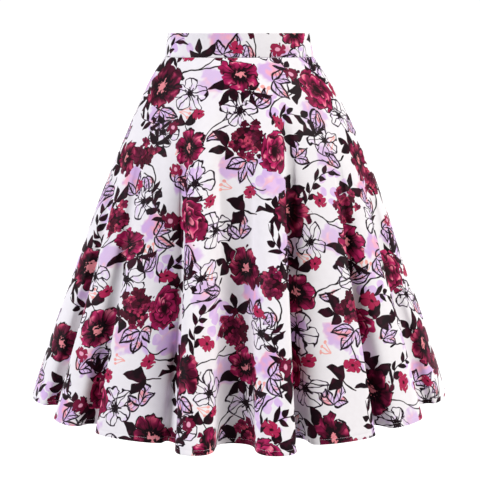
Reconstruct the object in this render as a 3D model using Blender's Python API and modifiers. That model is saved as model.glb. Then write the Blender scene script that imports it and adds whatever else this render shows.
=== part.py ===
"""A-line skirt: a flared, knee-length skirt of printed cotton, held in the shape it has when worn.

The skirt is a hollow tube of cloth. A stiff waistband carries a front panel and two back panels,
which flare into deep flutes at the hem. A concealed zip closes the centre back.

Frame: metres, +Z up. The origin is the centre of the waistband's upper opening. The front faces
-Y, and the wearer's left is +X. Angles run round the skirt from +X through the front (90 degrees)
and -X (180 degrees) to the centre back (270 degrees).
"""

from collections import namedtuple
from math import atan2, cos, pi, radians, sin

import bmesh
import bpy
import numpy as np
from mathutils import Matrix, Vector

# ---------------------------------------------------------------- driving sizes (metres)

BAND_HEIGHT = 0.040
SKIRT_DROP = 0.6055           # from the waistband's seam down to the hem at the front and back
SIDE_LIFT = 0.0165            # the hem hangs this much higher at the sides
SKIRT_WALL = 0.0012
BAND_WALL = 0.0018
GAP = 0.0003                  # between two solids that touch

TAPE_ROWS = 5                 # the zip's tape ends at this row of the back panels
TAPE_WIDTH = 0.024
TAPE_WALL = 0.0010
TAPE_TOP = 0.004              # below the waistband's upper edge
SLIDER_DROP = 0.013           # from the waistband's upper edge down to the slider's middle
SLIDER_SIZE = (0.0065, 0.0026, 0.0090)
ZIP_SLIT = 0.0016             # the waistband's ends stand this far apart at the centre back
BRIDGE_WALL = 0.0010
BRIDGE_HALF = 0.0040          # half of the bridge's length along the zip
BRIDGE_OUT = 0.0034           # how far the bridge stands off the cloth
BRIDGE_WINDOW = (0.0007, 0.0026)
BRIDGE_WINDOW_HALF = 0.0029
PULL_AXIS_OUT = 0.00165       # the pull's bar lies in the middle of the bridge's window
PULL_AXIS_DOWN = 0.0019
PULL_THICKNESS = 0.0012
PULL_LENGTH = 0.0240
PULL_HEAD_WIDTH = 0.0044
PULL_FOOT_WIDTH = 0.0070
PULL_EYE_HALF = 0.0009
PULL_EYE_END = 0.0054

# The skirt's plan at each drop below the waistband's seam, before the flutes are added.
Section = namedtuple("Section", "drop left_half right_half front_depth back_depth")
SECTIONS = (
    Section(0.0000, 0.1290, 0.1290, 0.098, 0.1000),
    Section(0.0300, 0.1495, 0.1485, 0.113, 0.1180),
    Section(0.0720, 0.1745, 0.1695, 0.132, 0.1400),
    Section(0.1540, 0.2140, 0.2050, 0.165, 0.1765),
    Section(0.2520, 0.2480, 0.2420, 0.198, 0.2080),
    Section(0.3560, 0.2780, 0.2750, 0.233, 0.2390),
    Section(0.4620, 0.3140, 0.3110, 0.266, 0.2680),
    Section(0.6055, 0.3570, 0.3570, 0.300, 0.3000),
)
BAND_TOP = Section(-BAND_HEIGHT, 0.121, 0.121, 0.092, 0.092)

# Each flute is a crest between two flanks, and the valley that follows it. Angles are in degrees
# at the hem, heights in metres at the hem, and start is the drop at which the flute begins.
# tuck is how upright its flanks already are at their start (1 is folded back on itself).
Flute = namedtuple("Flute", "name first_flank second_flank crest valley start tuck")
FLUTES = (
    Flute("left_side", -9.0, 19.0, 0.016, -0.021, 0.110, 0.3),
    Flute("left_outer", 31.0, 46.0, 0.013, -0.027, 0.150, 0.3),
    Flute("left_wide", 52.0, 71.0, 0.011, -0.031, 0.130, 0.8),
    Flute("left_middle", 75.5, 86.0, 0.035, -0.027, 0.030, 0.8),
    Flute("right_middle", 96.0, 106.0, 0.035, -0.037, 0.050, 0.8),
    Flute("right_wide", 110.5, 131.0, 0.008, -0.025, 0.090, 0.8),
    Flute("right_outer", 137.0, 149.0, 0.018, -0.023, 0.130, 0.3),
    Flute("right_side", 159.0, 186.0, 0.016, -0.025, 0.130, 0.3),
    Flute("back_1", 196.0, 214.0, 0.023, -0.027, 0.120, 0.3),
    Flute("back_2", 222.0, 238.0, 0.027, -0.027, 0.140, 0.3),
    Flute("back_3", 245.0, 262.0, 0.025, -0.023, 0.240, 0.3),
    Flute("back_4", 278.0, 293.0, 0.026, -0.027, 0.240, 0.3),
    Flute("back_5", 301.0, 316.0, 0.024, -0.027, 0.150, 0.3),
    Flute("back_6", 325.0, 342.0, 0.023, -0.025, 0.120, 0.3),
)
HEM_TUCK = 0.95               # tuck of every flank at the hem
FLUTE_GROWTH = 1.1            # power by which a flute deepens on its way down
LEAN = 13.0                   # degrees by which the front's folds spread at the waist
LEAN_WIDTH = 12.0             # degrees from the middle over which the spread builds up
LEAN_POWER = 1.7

SAMPLES = 64                  # samples of each crest and each valley
COLUMN_STEP = 8               # samples to a column of the mesh
ROUNDING = 9                  # samples over which a flank is rounded into its neighbours
ROWS = 12                     # rows of faces from the waist to the hem
ROW_CROWDING = 1.25           # rows lie closer together towards the waist
BAND_COLUMNS = 96
BAND_ROWS = 2

CLOTH_COLOUR = (0.86, 0.85, 0.88)
TAPE_COLOUR = (0.88, 0.88, 0.89)
METAL_COLOUR = (0.83, 0.83, 0.85)

COLLECTION = "a_line_skirt"


# ---------------------------------------------------------------- the skirt's surface

def monotone_curve(xs, ys, at):
    """A smooth curve through a table's points that never overshoots them."""
    xs = np.asarray(xs, float)
    ys = np.asarray(ys, float)
    steps = np.diff(xs)
    slopes = np.diff(ys) / steps
    tangents = np.zeros_like(ys)
    tangents[0] = slopes[0]
    tangents[-1] = slopes[-1]
    for i in range(1, len(xs) - 1):
        if slopes[i - 1] * slopes[i] > 0:
            before = 2 * steps[i] + steps[i - 1]
            after = steps[i] + 2 * steps[i - 1]
            tangents[i] = (before + after) / (before / slopes[i - 1] + after / slopes[i])
    cell = np.clip(np.searchsorted(xs, at) - 1, 0, len(xs) - 2)
    width = steps[cell]
    t = (at - xs[cell]) / width
    low = (2 * t**3 - 3 * t**2 + 1) * ys[cell] + (t**3 - 2 * t**2 + t) * width * tangents[cell]
    high = (3 * t**2 - 2 * t**3) * ys[cell + 1] + (t**3 - t**2) * width * tangents[cell + 1]
    return low + high


def rounded(values, turn=0.0):
    """Round off a closed series of values; turn is what it gains over one lap."""
    weights = np.hanning(ROUNDING + 2)[1:-1]
    weights /= weights.sum()
    lap = np.concatenate([values[-ROUNDING:] - turn, values, values[:ROUNDING] + turn])
    return np.convolve(lap, weights, mode="same")[ROUNDING:-ROUNDING]


def fold_lines():
    """Follow the flutes once round the hem.

    Returns arrays with a value for each sample: its angle, the swing that tucks the flanks,
    its height off the plain section, the drop where it starts, and its first tuck.
    """
    angle, swing, height, start, tuck = [], [], [], [], []
    s = np.arange(SAMPLES) / SAMPLES
    for i, flute in enumerate(FLUTES):
        after = FLUTES[(i + 1) % len(FLUTES)]
        lap = 360.0 if i == len(FLUTES) - 1 else 0.0
        crest_width = flute.second_flank - flute.first_flank
        valley_width = after.first_flank + lap - flute.second_flank
        for first, width, rise, blend in (
            (flute.first_flank, crest_width, flute.crest, 0.0),
            (flute.second_flank, valley_width, flute.valley, 1.0),
        ):
            angle.append(first + width * s)
            swing.append(width * np.sin(2 * pi * s) / (2 * pi))
            height.append(rise * np.sin(pi * s))
            start.append(flute.start + (after.start - flute.start) * s * blend)
            tuck.append(flute.tuck + (after.tuck - flute.tuck) * s * blend)
    return (
        rounded(np.concatenate(angle), 360.0),
        rounded(np.concatenate(swing)),
        rounded(np.concatenate(height)),
        rounded(np.concatenate(start)),
        rounded(np.concatenate(tuck)),
    )


def row_share(row):
    """The share of the way down to the hem at which a row of points lies."""
    return (row / ROWS) ** ROW_CROWDING


def plan_axes(drop, angles):
    """The plan's half width and half depth on the side of each angle (radians)."""
    drops = [row.drop for row in SECTIONS]
    left = monotone_curve(drops, [row.left_half for row in SECTIONS], drop)
    right = monotone_curve(drops, [row.right_half for row in SECTIONS], drop)
    front = monotone_curve(drops, [row.front_depth for row in SECTIONS], drop)
    back = monotone_curve(drops, [row.back_depth for row in SECTIONS], drop)
    side = 0.5 + 0.5 * np.cos(angles)
    return right + (left - right) * side, np.where(np.sin(angles) > 0, front, back)


def fold_lean(angles, share):
    """Degrees by which a fold of the front stands further out at this share of the drop."""
    off_middle = ((angles + 90.0) % 360.0 - 180.0) / 90.0
    reach = np.where(np.abs(off_middle) < 1, 1 - np.abs(off_middle) ** 4, 0.0)
    spread = np.tanh(off_middle * 90.0 / LEAN_WIDTH)
    return LEAN * spread * reach * (1 - share) ** LEAN_POWER


def skirt_row(lines, share):
    """Points of the skirt's outer face at one share (0 to 1) of the way down to the hem."""
    angle, swing, height, start, tuck = lines
    hem_drop = SKIRT_DROP - SIDE_LIFT * np.cos(np.radians(angle)) ** 2
    drop = GAP + (hem_drop - GAP) * share
    grown = np.clip((drop - start) / (SKIRT_DROP - start), 0, 1) ** FLUTE_GROWTH
    degrees = angle - (tuck + (HEM_TUCK - tuck) * grown) * swing + fold_lean(angle, share)
    theta = np.radians(degrees)
    half, depth = plan_axes(drop, theta)
    out_x = depth * np.cos(theta)
    out_y = -half * np.sin(theta)
    length = np.hypot(out_x, out_y)
    x = half * np.cos(theta) + height * grown * out_x / length
    y = -depth * np.sin(theta) + height * grown * out_y / length
    return np.stack([x, y, -BAND_HEIGHT - drop], axis=-1)


def centre_back_point(x, z):
    """The outer face beside the centre back, at a width x and a height z above the flutes."""
    if z > -BAND_HEIGHT:
        share = -z / BAND_HEIGHT
        half = BAND_TOP.left_half + (SECTIONS[0].left_half - BAND_TOP.left_half) * share
        depth = BAND_TOP.back_depth + (SECTIONS[0].back_depth - BAND_TOP.back_depth) * share
        theta = -pi / 2 + x / half
        return Vector((half * cos(theta), -depth * sin(theta), z))
    half, depth = plan_axes(np.array([-z - BAND_HEIGHT]), np.array([-pi / 2]))
    theta = -pi / 2 + x / half[0]
    return Vector((half[0] * cos(theta), -depth[0] * sin(theta), z))


def centre_back_normal(x, z):
    """The outward direction of the outer face beside the centre back."""
    step = 0.0005
    across = centre_back_point(x + step, z) - centre_back_point(x - step, z)
    up = centre_back_point(x, z) - centre_back_point(x, z - step)
    return up.cross(across).normalized()


# ---------------------------------------------------------------- making objects

def clear_scene():
    """Start from an empty scene."""
    for item in list(bpy.data.objects):
        bpy.data.objects.remove(item, do_unlink=True)


def new_collection():
    """The collection that holds the skirt's pieces."""
    collection = bpy.data.collections.new(COLLECTION)
    bpy.context.scene.collection.children.link(collection)
    return collection


def new_material(name, colour, roughness, metallic=0.0):
    """A plain Principled material."""
    material = bpy.data.materials.new(name)
    material.use_nodes = True
    shader = material.node_tree.nodes["Principled BSDF"]
    shader.inputs["Base Color"].default_value = (*colour, 1.0)
    shader.inputs["Roughness"].default_value = roughness
    shader.inputs["Metallic"].default_value = metallic
    return material


def new_object(name, mesh, collection, material):
    """Put a mesh in the collection with its material."""
    mesh.materials.append(material)
    piece = bpy.data.objects.new(name, mesh)
    collection.objects.link(piece)
    return piece


def sheet_mesh(name, grid, skip=()):
    """An open sheet through a grid of points [row][column]; skip holds cells left out."""
    mesh = bpy.data.meshes.new(name)
    bm = bmesh.new()
    rows = [[bm.verts.new(point) for point in row] for row in grid]
    for i in range(len(rows) - 1):
        for j in range(len(rows[i]) - 1):
            if (i, j) not in skip:
                corners = (rows[i][j], rows[i][j + 1], rows[i + 1][j + 1], rows[i + 1][j])
                bm.faces.new(corners)
    loose = [vert for vert in bm.verts if not vert.link_faces]
    bmesh.ops.delete(bm, geom=loose, context="VERTS")
    bm.to_mesh(mesh)
    bm.free()
    mesh.shade_smooth()
    return mesh


def add_wall(piece, thickness):
    """Give a sheet its thickness, from its outer face inwards."""
    wall = piece.modifiers.new("wall", "SOLIDIFY")
    wall.thickness = thickness
    wall.offset = -1.0
    wall.use_even_offset = True
    wall.use_quality_normals = True


def trimmed(grid):
    """Draw in a panel's two side edges by half the gap of a seam."""
    grid = np.array(grid)
    for edge, inner in ((0, 1), (-1, -2)):
        inwards = grid[:, inner] - grid[:, edge]
        inwards /= np.linalg.norm(inwards, axis=-1, keepdims=True)
        grid[:, edge] += inwards * GAP / 2
    return grid


# ---------------------------------------------------------------- cloth pieces

def panel_columns(first, last):
    """Samples of a panel's columns, with one close to each edge to keep the seams square."""
    inner = list(range(first + COLUMN_STEP, last, COLUMN_STEP))
    return [first, first + 1, *inner, last - 1, last]


def middle_sample(name, part):
    """The sample in the middle of a flute's crest (part 0) or of the valley after it (part 1)."""
    index = [flute.name for flute in FLUTES].index(name)
    return (2 * index + part) * SAMPLES + SAMPLES // 2


def make_panels(collection, material):
    """The front panel and the two back panels."""
    lines = fold_lines()
    rings = [skirt_row(lines, row_share(row)) for row in range(ROWS + 1)]
    lap = len(lines[0])
    left_seam = middle_sample("left_side", 0)
    right_seam = middle_sample("right_side", 0)
    back_seam = middle_sample("back_3", 1)
    for name, first, last in (
        ("skirt_front", left_seam, right_seam),
        ("skirt_back_right", right_seam, back_seam),
        ("skirt_back_left", back_seam, left_seam + lap),
    ):
        columns = [column % lap for column in panel_columns(first, last)]
        grid = trimmed([[ring[column] for column in columns] for ring in rings])
        piece = new_object(name, sheet_mesh(name, grid), collection, material)
        add_wall(piece, SKIRT_WALL)


def make_waistband(collection, material):
    """The waistband: a stiff ring, open by the zip's slit at the centre back."""
    slit = ZIP_SLIT / 2 / SECTIONS[0].left_half
    angles = np.linspace(-pi / 2 + slit, 3 * pi / 2 - slit, BAND_COLUMNS + 1)
    grid = []
    for row in range(BAND_ROWS + 1):
        share = row / BAND_ROWS
        half = BAND_TOP.left_half + (SECTIONS[0].left_half - BAND_TOP.left_half) * share
        front = BAND_TOP.front_depth + (SECTIONS[0].front_depth - BAND_TOP.front_depth) * share
        back = BAND_TOP.back_depth + (SECTIONS[0].back_depth - BAND_TOP.back_depth) * share
        depth = np.where(np.sin(angles) > 0, front, back)
        height = np.full_like(angles, -BAND_HEIGHT * share)
        ring = np.stack([half * np.cos(angles), -depth * np.sin(angles), height], axis=-1)
        grid.append(ring)
    piece = new_object("waistband", sheet_mesh("waistband", grid), collection, material)
    add_wall(piece, BAND_WALL)


def make_zip_tape(collection, material):
    """The zip's tape: a strip behind the centre back, notched at its top for the slider."""
    notch = SLIDER_SIZE[0] / 2 + GAP
    edge = TAPE_WIDTH / 2
    widths = (-edge, -0.5 * (edge + notch), -notch, notch, 0.5 * (edge + notch), edge)
    notch_end = SLIDER_DROP + SLIDER_SIZE[2] / 2 + GAP
    seam = BAND_HEIGHT + GAP
    upper = (TAPE_TOP, notch_end, 0.5 * (notch_end + BAND_HEIGHT), BAND_HEIGHT, seam)
    length = SKIRT_DROP - GAP
    lower = [seam + length * row_share(row) for row in range(1, TAPE_ROWS + 1)]
    grid = []
    for drop in (*upper, *lower):
        cover = BAND_WALL if drop <= seam else SKIRT_WALL
        row = []
        for x in widths:
            outward = centre_back_normal(x, -drop)
            row.append(centre_back_point(x, -drop) - outward * (cover + GAP))
        grid.append(row)
    slider_cell = (0, 2)
    mesh = sheet_mesh("zip_tape", grid, skip=(slider_cell,))
    piece = new_object("zip_tape", mesh, collection, material)
    add_wall(piece, TAPE_WALL)


# ---------------------------------------------------------------- the zip's hard pieces

def zip_lean():
    """How far the centre back of the waistband leans from upright, as a turn about X."""
    return atan2(SECTIONS[0].back_depth - BAND_TOP.back_depth, BAND_HEIGHT)


def zip_frame():
    """Local axes at the slider: x across, y out of the cloth, z up along the zip."""
    origin = centre_back_point(0.0, -SLIDER_DROP)
    return Matrix.Translation(origin) @ Matrix.Rotation(zip_lean(), 4, "X")


def block(name, collection, low, high):
    """A box from its lowest to its highest corner, in the zip's local axes."""
    mesh = bpy.data.meshes.new(name)
    bm = bmesh.new()
    bmesh.ops.create_cube(bm, size=1.0)
    size = Vector(high) - Vector(low)
    centre = (Vector(high) + Vector(low)) / 2
    bmesh.ops.scale(bm, vec=size, verts=bm.verts)
    bmesh.ops.translate(bm, vec=centre, verts=bm.verts)
    bm.to_mesh(mesh)
    bm.free()
    piece = bpy.data.objects.new(name, mesh)
    collection.objects.link(piece)
    return piece


def add_bevel(piece, width, segments=2):
    """Round a block's edges."""
    bevel = piece.modifiers.new("edges", "BEVEL")
    bevel.width = width
    bevel.segments = segments
    bevel.limit_method = "ANGLE"
    bevel.angle_limit = radians(40)


def hide_cutter(piece, frame):
    """Keep a cutter out of the finished skirt."""
    piece.matrix_world = frame
    piece.hide_render = True
    piece.display_type = "WIRE"


def add_boolean(piece, cutter, operation):
    """Join a cutter to a piece, or cut it out."""
    step = piece.modifiers.new(cutter.name, "BOOLEAN")
    step.operation = operation
    step.object = cutter
    step.solver = "EXACT"


def make_slider(collection, cutters, material, frame):
    """The zip's slider: a body behind the cloth and a bridge that reaches out through the slit."""
    behind = BAND_WALL + GAP
    half_width, depth, length = SLIDER_SIZE[0] / 2, SLIDER_SIZE[1], SLIDER_SIZE[2]
    piece = block(
        "zip_slider",
        collection,
        (-half_width, -behind - depth, -length / 2),
        (half_width, -behind, length / 2),
    )
    piece.matrix_world = frame
    piece.data.materials.append(material)
    add_bevel(piece, 0.0006)
    bridge = block(
        "bridge",
        cutters,
        (-BRIDGE_WALL / 2, -behind - depth / 2, -BRIDGE_HALF),
        (BRIDGE_WALL / 2, BRIDGE_OUT, BRIDGE_HALF),
    )
    hide_cutter(bridge, frame)
    window = block(
        "bridge_window",
        cutters,
        (-BRIDGE_WALL, BRIDGE_WINDOW[0], -BRIDGE_WINDOW_HALF),
        (BRIDGE_WALL, BRIDGE_WINDOW[1], BRIDGE_WINDOW_HALF),
    )
    hide_cutter(window, frame)
    add_boolean(piece, bridge, "UNION")
    add_boolean(piece, window, "DIFFERENCE")


def pull_outline():
    """Half widths of the pull at distances below its axis, from its head to its foot."""
    bar = PULL_THICKNESS / 2
    head = PULL_HEAD_WIDTH / 2
    foot = PULL_FOOT_WIDTH / 2
    outline = [(-bar, head - 0.0005), (-bar + 0.0005, head), (PULL_EYE_END + 0.001, head)]
    widest = PULL_LENGTH - foot
    for step in range(1, 4):
        t = step / 4
        ease = t * t * (3 - 2 * t)
        down = PULL_EYE_END + 0.001 + (widest - PULL_EYE_END - 0.001) * t
        outline.append((down, head + (foot - head) * ease))
    for step in range(6):
        turn = radians(15 * step)
        outline.append((widest + foot * sin(turn), foot * cos(turn)))
    return outline


def make_pull(collection, cutters, material, frame):
    """The pull tab: a drop-shaped plate whose eye straddles the slider's bridge."""
    bar = PULL_THICKNESS / 2
    mesh = bpy.data.meshes.new("zip_pull")
    bm = bmesh.new()
    outline = pull_outline()
    right = [Vector((width, -bar, -down)) for down, width in outline]
    left = [Vector((-width, -bar, -down)) for down, width in reversed(outline)]
    tip = Vector((0.0, -bar, -PULL_LENGTH))
    face = bm.faces.new([bm.verts.new(point) for point in (*right, tip, *left)])
    grown = bmesh.ops.extrude_face_region(bm, geom=[face])
    moved = [item for item in grown["geom"] if isinstance(item, bmesh.types.BMVert)]
    bmesh.ops.translate(bm, vec=(0.0, PULL_THICKNESS, 0.0), verts=moved)
    bmesh.ops.recalc_face_normals(bm, faces=bm.faces)
    bm.to_mesh(mesh)
    bm.free()
    piece = new_object("zip_pull", mesh, collection, material)
    axis = frame @ Matrix.Translation((0.0, PULL_AXIS_OUT, -PULL_AXIS_DOWN))
    piece.matrix_world = axis
    eye = block(
        "pull_eye",
        cutters,
        (-PULL_EYE_HALF, -PULL_THICKNESS, -PULL_EYE_END),
        (PULL_EYE_HALF, PULL_THICKNESS, -bar),
    )
    hide_cutter(eye, axis)
    add_boolean(piece, eye, "DIFFERENCE")


def main():
    """Build the skirt."""
    clear_scene()
    collection = new_collection()
    cutters = bpy.data.collections.new("cutters")
    bpy.context.scene.collection.children.link(cutters)
    cloth = new_material("printed_cotton", CLOTH_COLOUR, 0.62)
    tape = new_material("zip_tape_polyester", TAPE_COLOUR, 0.7)
    metal = new_material("zip_metal", METAL_COLOUR, 0.3, 1.0)
    make_waistband(collection, cloth)
    make_panels(collection, cloth)
    make_zip_tape(collection, tape)
    frame = zip_frame()
    make_slider(collection, cutters, metal, frame)
    make_pull(collection, cutters, metal, frame)


main()
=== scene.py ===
"""A-line skirt: its cloth, printed design, hem, zip and the studio it is shown in.

The skirt hangs as if it were worn, with nothing inside. Lengths are in metres unless a name says
otherwise, and angles run round the skirt from the wearer's left side (+X) through the front
(90 degrees) and the right side (180) to the centre back (270).
"""

import logging
from dataclasses import dataclass
from enum import Enum
from functools import cached_property
from math import cos, pi, radians, sin, tau
from typing import NamedTuple

import bpy
import numpy as np
from bpy.types import Material, Node, NodeSocket, NodeTree, Object
from mathutils import Matrix, Vector


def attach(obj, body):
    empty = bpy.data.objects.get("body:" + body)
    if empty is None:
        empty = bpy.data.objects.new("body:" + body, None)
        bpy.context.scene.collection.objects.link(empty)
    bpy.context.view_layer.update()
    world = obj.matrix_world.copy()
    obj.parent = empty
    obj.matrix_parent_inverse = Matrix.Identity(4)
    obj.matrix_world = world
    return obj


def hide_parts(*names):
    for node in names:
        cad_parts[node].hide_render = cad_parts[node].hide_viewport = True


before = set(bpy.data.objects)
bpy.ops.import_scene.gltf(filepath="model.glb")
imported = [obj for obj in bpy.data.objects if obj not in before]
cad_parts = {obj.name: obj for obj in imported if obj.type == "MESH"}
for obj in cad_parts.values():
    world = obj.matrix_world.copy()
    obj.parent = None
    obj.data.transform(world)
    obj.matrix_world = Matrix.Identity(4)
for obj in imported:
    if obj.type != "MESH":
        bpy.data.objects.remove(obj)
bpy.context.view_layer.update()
bpy.ops.object.select_all(action="DESELECT")

log = logging.getLogger("a_line_skirt")

Value = NodeSocket | float | tuple[float, ...]
# A step of a drawing: its name, its operation and its operands. An operand is a name, a number,
# a colour or an unnamed step.
Step = tuple[str, str, *tuple[str | float | tuple, ...]]
Steps = tuple[Step, ...]
# The operations of steps that aren't plain sums: node, settings, input slots and output.
OPERATIONS = {
    "SOFT": ("ShaderNodeMapRange", {"interpolation_type": "SMOOTHSTEP"}, (0, 1, 2), 0),
    "MIX": ("ShaderNodeMix", {"data_type": "RGBA"}, (0, 6, 7), 2),
}


class Body(Enum):
    """The bodies that pieces move with."""

    CLOTH = "cloth"
    PULL = "pull"


class Slot(Enum):
    """The material slots of the record."""

    COTTON = "printed_cotton"
    TAPE = "zip_tape"
    METAL = "zip_metal"


class Held(Enum):
    """How a sheet of cloth is held."""

    HUNG = "hung"
    STRETCHED = "stretched"


# ---------------------------------------------------------------- small tools


def linear(hex_colour: str) -> tuple[float, ...]:
    """Turn an sRGB hex colour into linear RGBA.

    Args:
        hex_colour: The colour as "#RRGGBB".

    Returns:
        The colour's linear red, green, blue and alpha.
    """
    shares = [int(hex_colour[i : i + 2], 16) / 255 for i in (1, 3, 5)]
    bent = [s / 12.92 if s <= 0.04045 else ((s + 0.055) / 1.055) ** 2.4 for s in shares]
    return (*bent, 1.0)


def add_node(tree: NodeTree, kind: str, inputs: dict[int | str, Value], **settings: object) -> Node:
    """Add a node with its settings and links.

    Args:
        tree: The node tree that takes the node.
        kind: The node's type, such as "ShaderNodeMath".
        inputs: A socket to link, or a value to set, for each input.
        **settings: Properties of the node.

    Returns:
        The new node.
    """
    node = tree.nodes.new(kind)
    for name, value in settings.items():
        setattr(node, name, value)
    for key, value in inputs.items():
        if isinstance(value, NodeSocket):
            tree.links.new(value, node.inputs[key])
        else:
            node.inputs[key].default_value = value
    return node


def smooth(value: np.ndarray, low: float, high: float) -> np.ndarray:
    """Rise softly from 0 at low to 1 at high."""
    t = np.clip((value - low) / (high - low), 0.0, 1.0)
    return t * t * (3.0 - 2.0 * t)


def hand_over(piece: Object, body: Body, slot: Slot, *nodes: str) -> Object:
    """Put a finished piece on its body and in place of its solids.

    Args:
        piece: The finished piece.
        body: The body that it moves with.
        slot: The record's material slot for its finish; not used.
        *nodes: The solids that it stands for.

    Returns:
        The piece.
    """
    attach(piece, body.value)
    if nodes:
        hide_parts(*nodes)
    piece.select_set(False)
    log.info("%s: %d faces", piece.name, len(piece.data.polygons))
    return piece


# ---------------------------------------------------------------- the skirt's form


class Section(NamedTuple):
    """The skirt's plan at one drop below the waistband's seam, before its flutes."""

    drop: float
    left_half: float
    right_half: float
    front_depth: float
    back_depth: float


class Flute(NamedTuple):
    """A crest between two flanks (degrees at the hem), and the valley after it."""

    name: str
    first_flank: float
    second_flank: float
    crest: float
    valley: float
    start: float
    tuck: float


class Crease(NamedTuple):
    """A soft trough in the cloth, or a ridge where its depth is below zero.

    It starts at an angle and a drop, and leans by some degrees over its length. The side
    towards the smaller angles is wider by the skew, or narrower where the skew is below one.
    """

    angle: float
    lean: float
    top: float
    length: float
    half_width: float
    depth: float
    skew: float = 1.0


SECTIONS = (
    Section(0.0000, 0.1290, 0.1290, 0.098, 0.1000),
    Section(0.0300, 0.1495, 0.1485, 0.113, 0.1180),
    Section(0.0720, 0.1745, 0.1695, 0.132, 0.1400),
    Section(0.1540, 0.2140, 0.2050, 0.165, 0.1765),
    Section(0.2520, 0.2480, 0.2420, 0.198, 0.2080),
    Section(0.3560, 0.2780, 0.2750, 0.233, 0.2390),
    Section(0.4620, 0.3140, 0.3110, 0.266, 0.2680),
    Section(0.6055, 0.3570, 0.3570, 0.300, 0.3000),
)

FLUTES = (
    Flute("left_side", -9.0, 19.0, 0.016, -0.021, 0.110, 0.3),
    Flute("left_outer", 31.0, 46.0, 0.013, -0.027, 0.150, 0.3),
    Flute("left_wide", 52.0, 71.0, 0.011, -0.031, 0.130, 0.8),
    Flute("left_middle", 75.5, 86.0, 0.035, -0.027, 0.030, 0.8),
    Flute("right_middle", 96.0, 106.0, 0.035, -0.014, 0.050, 0.8),
    Flute("right_wide", 110.5, 131.0, 0.008, -0.025, 0.090, 0.8),
    Flute("right_outer", 137.0, 149.0, 0.018, -0.023, 0.130, 0.3),
    Flute("right_side", 159.0, 186.0, 0.016, -0.025, 0.130, 0.3),
    Flute("back_1", 196.0, 214.0, 0.023, -0.027, 0.120, 0.3),
    Flute("back_2", 222.0, 238.0, 0.027, -0.027, 0.140, 0.3),
    Flute("back_3", 245.0, 262.0, 0.025, -0.023, 0.240, 0.3),
    Flute("back_4", 278.0, 293.0, 0.026, -0.027, 0.240, 0.3),
    Flute("back_5", 301.0, 316.0, 0.024, -0.027, 0.150, 0.3),
    Flute("back_6", 325.0, 342.0, 0.023, -0.025, 0.120, 0.3),
)

# Angle, lean, top, length, half width, depth and, where it isn't 1, skew.
CREASES = tuple(Crease(*row) for row in (
    (5.0, 0.0, 0.120, 0.600, 0.030, -0.0040), (12.0, 2.0, 0.020, 0.150, 0.014, 0.0010),
    (29.0, 0.0, 0.140, 0.600, 0.008, 0.0130, 3.0), (38.0, -3.0, 0.012, 0.110, 0.010, 0.0012),
    (36.0, 0.0, 0.150, 0.600, 0.018, -0.0050), (50.0, 0.0, 0.130, 0.640, 0.008, 0.0180, 3.8),
    (56.0, 0.0, 0.120, 0.650, 0.022, -0.0060), (57.0, 2.0, 0.008, 0.090, 0.009, 0.0011),
    (74.5, 0.0, 0.060, 0.700, 0.010, 0.0300, 5.5), (72.0, -2.0, 0.006, 0.080, 0.008, 0.0010),
    (78.5, 0.0, 0.050, 0.700, 0.012, -0.0060), (84.0, 0.0, 0.050, 0.700, 0.012, 0.0050),
    (94.5, 0.0, 0.040, 0.720, 0.010, 0.0200, 4.5), (90.0, 2.0, 0.010, 0.070, 0.009, 0.0008),
    (103.0, 0.0, 0.050, 0.700, 0.012, -0.0050), (98.0, 0.0, 0.050, 0.700, 0.012, 0.0040),
    (108.0, 2.0, 0.006, 0.100, 0.009, 0.0012), (109.5, 0.0, 0.060, 0.700, 0.060, 0.0280, 0.15),
    (125.0, 0.0, 0.120, 0.650, 0.022, -0.0050), (128.0, -2.0, 0.010, 0.110, 0.010, 0.0012),
    (134.0, 0.0, 0.120, 0.650, 0.014, 0.0030), (143.0, 0.0, 0.130, 0.650, 0.016, -0.0040),
    (155.0, -2.0, 0.012, 0.100, 0.010, 0.0010), (156.0, 0.0, 0.130, 0.650, 0.008, 0.0070, 4.0),
    (170.0, 0.0, 0.130, 0.650, 0.030, -0.0040), (192.0, -2.0, 0.010, 0.120, 0.010, 0.0011),
    (191.0, 0.0, 0.120, 0.650, 0.018, 0.0080), (205.0, 0.0, 0.120, 0.650, 0.018, -0.0040),
    (218.0, 3.0, 0.014, 0.090, 0.009, 0.0011), (218.0, 0.0, 0.120, 0.650, 0.015, 0.0080),
    (230.0, 0.0, 0.140, 0.650, 0.016, -0.0040), (241.0, 0.0, 0.120, 0.650, 0.013, 0.0070),
    (240.0, 2.0, 0.008, 0.120, 0.010, 0.0010), (253.0, 0.0, 0.240, 0.520, 0.017, -0.0040),
    (262.0, 1.0, 0.020, 0.140, 0.010, 0.0012), (279.0, -1.0, 0.030, 0.130, 0.010, 0.0012),
    (286.0, 0.0, 0.240, 0.520, 0.016, -0.0040), (297.0, 0.0, 0.200, 0.560, 0.015, 0.0070),
    (300.0, -2.0, 0.010, 0.110, 0.009, 0.0011), (308.0, 0.0, 0.150, 0.600, 0.016, -0.0040),
    (320.0, 0.0, 0.130, 0.620, 0.016, 0.0080), (322.0, -3.0, 0.012, 0.100, 0.010, 0.0010),
    (333.0, 0.0, 0.130, 0.620, 0.018, -0.0040), (347.0, 0.0, 0.120, 0.640, 0.018, 0.0080),
))


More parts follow.
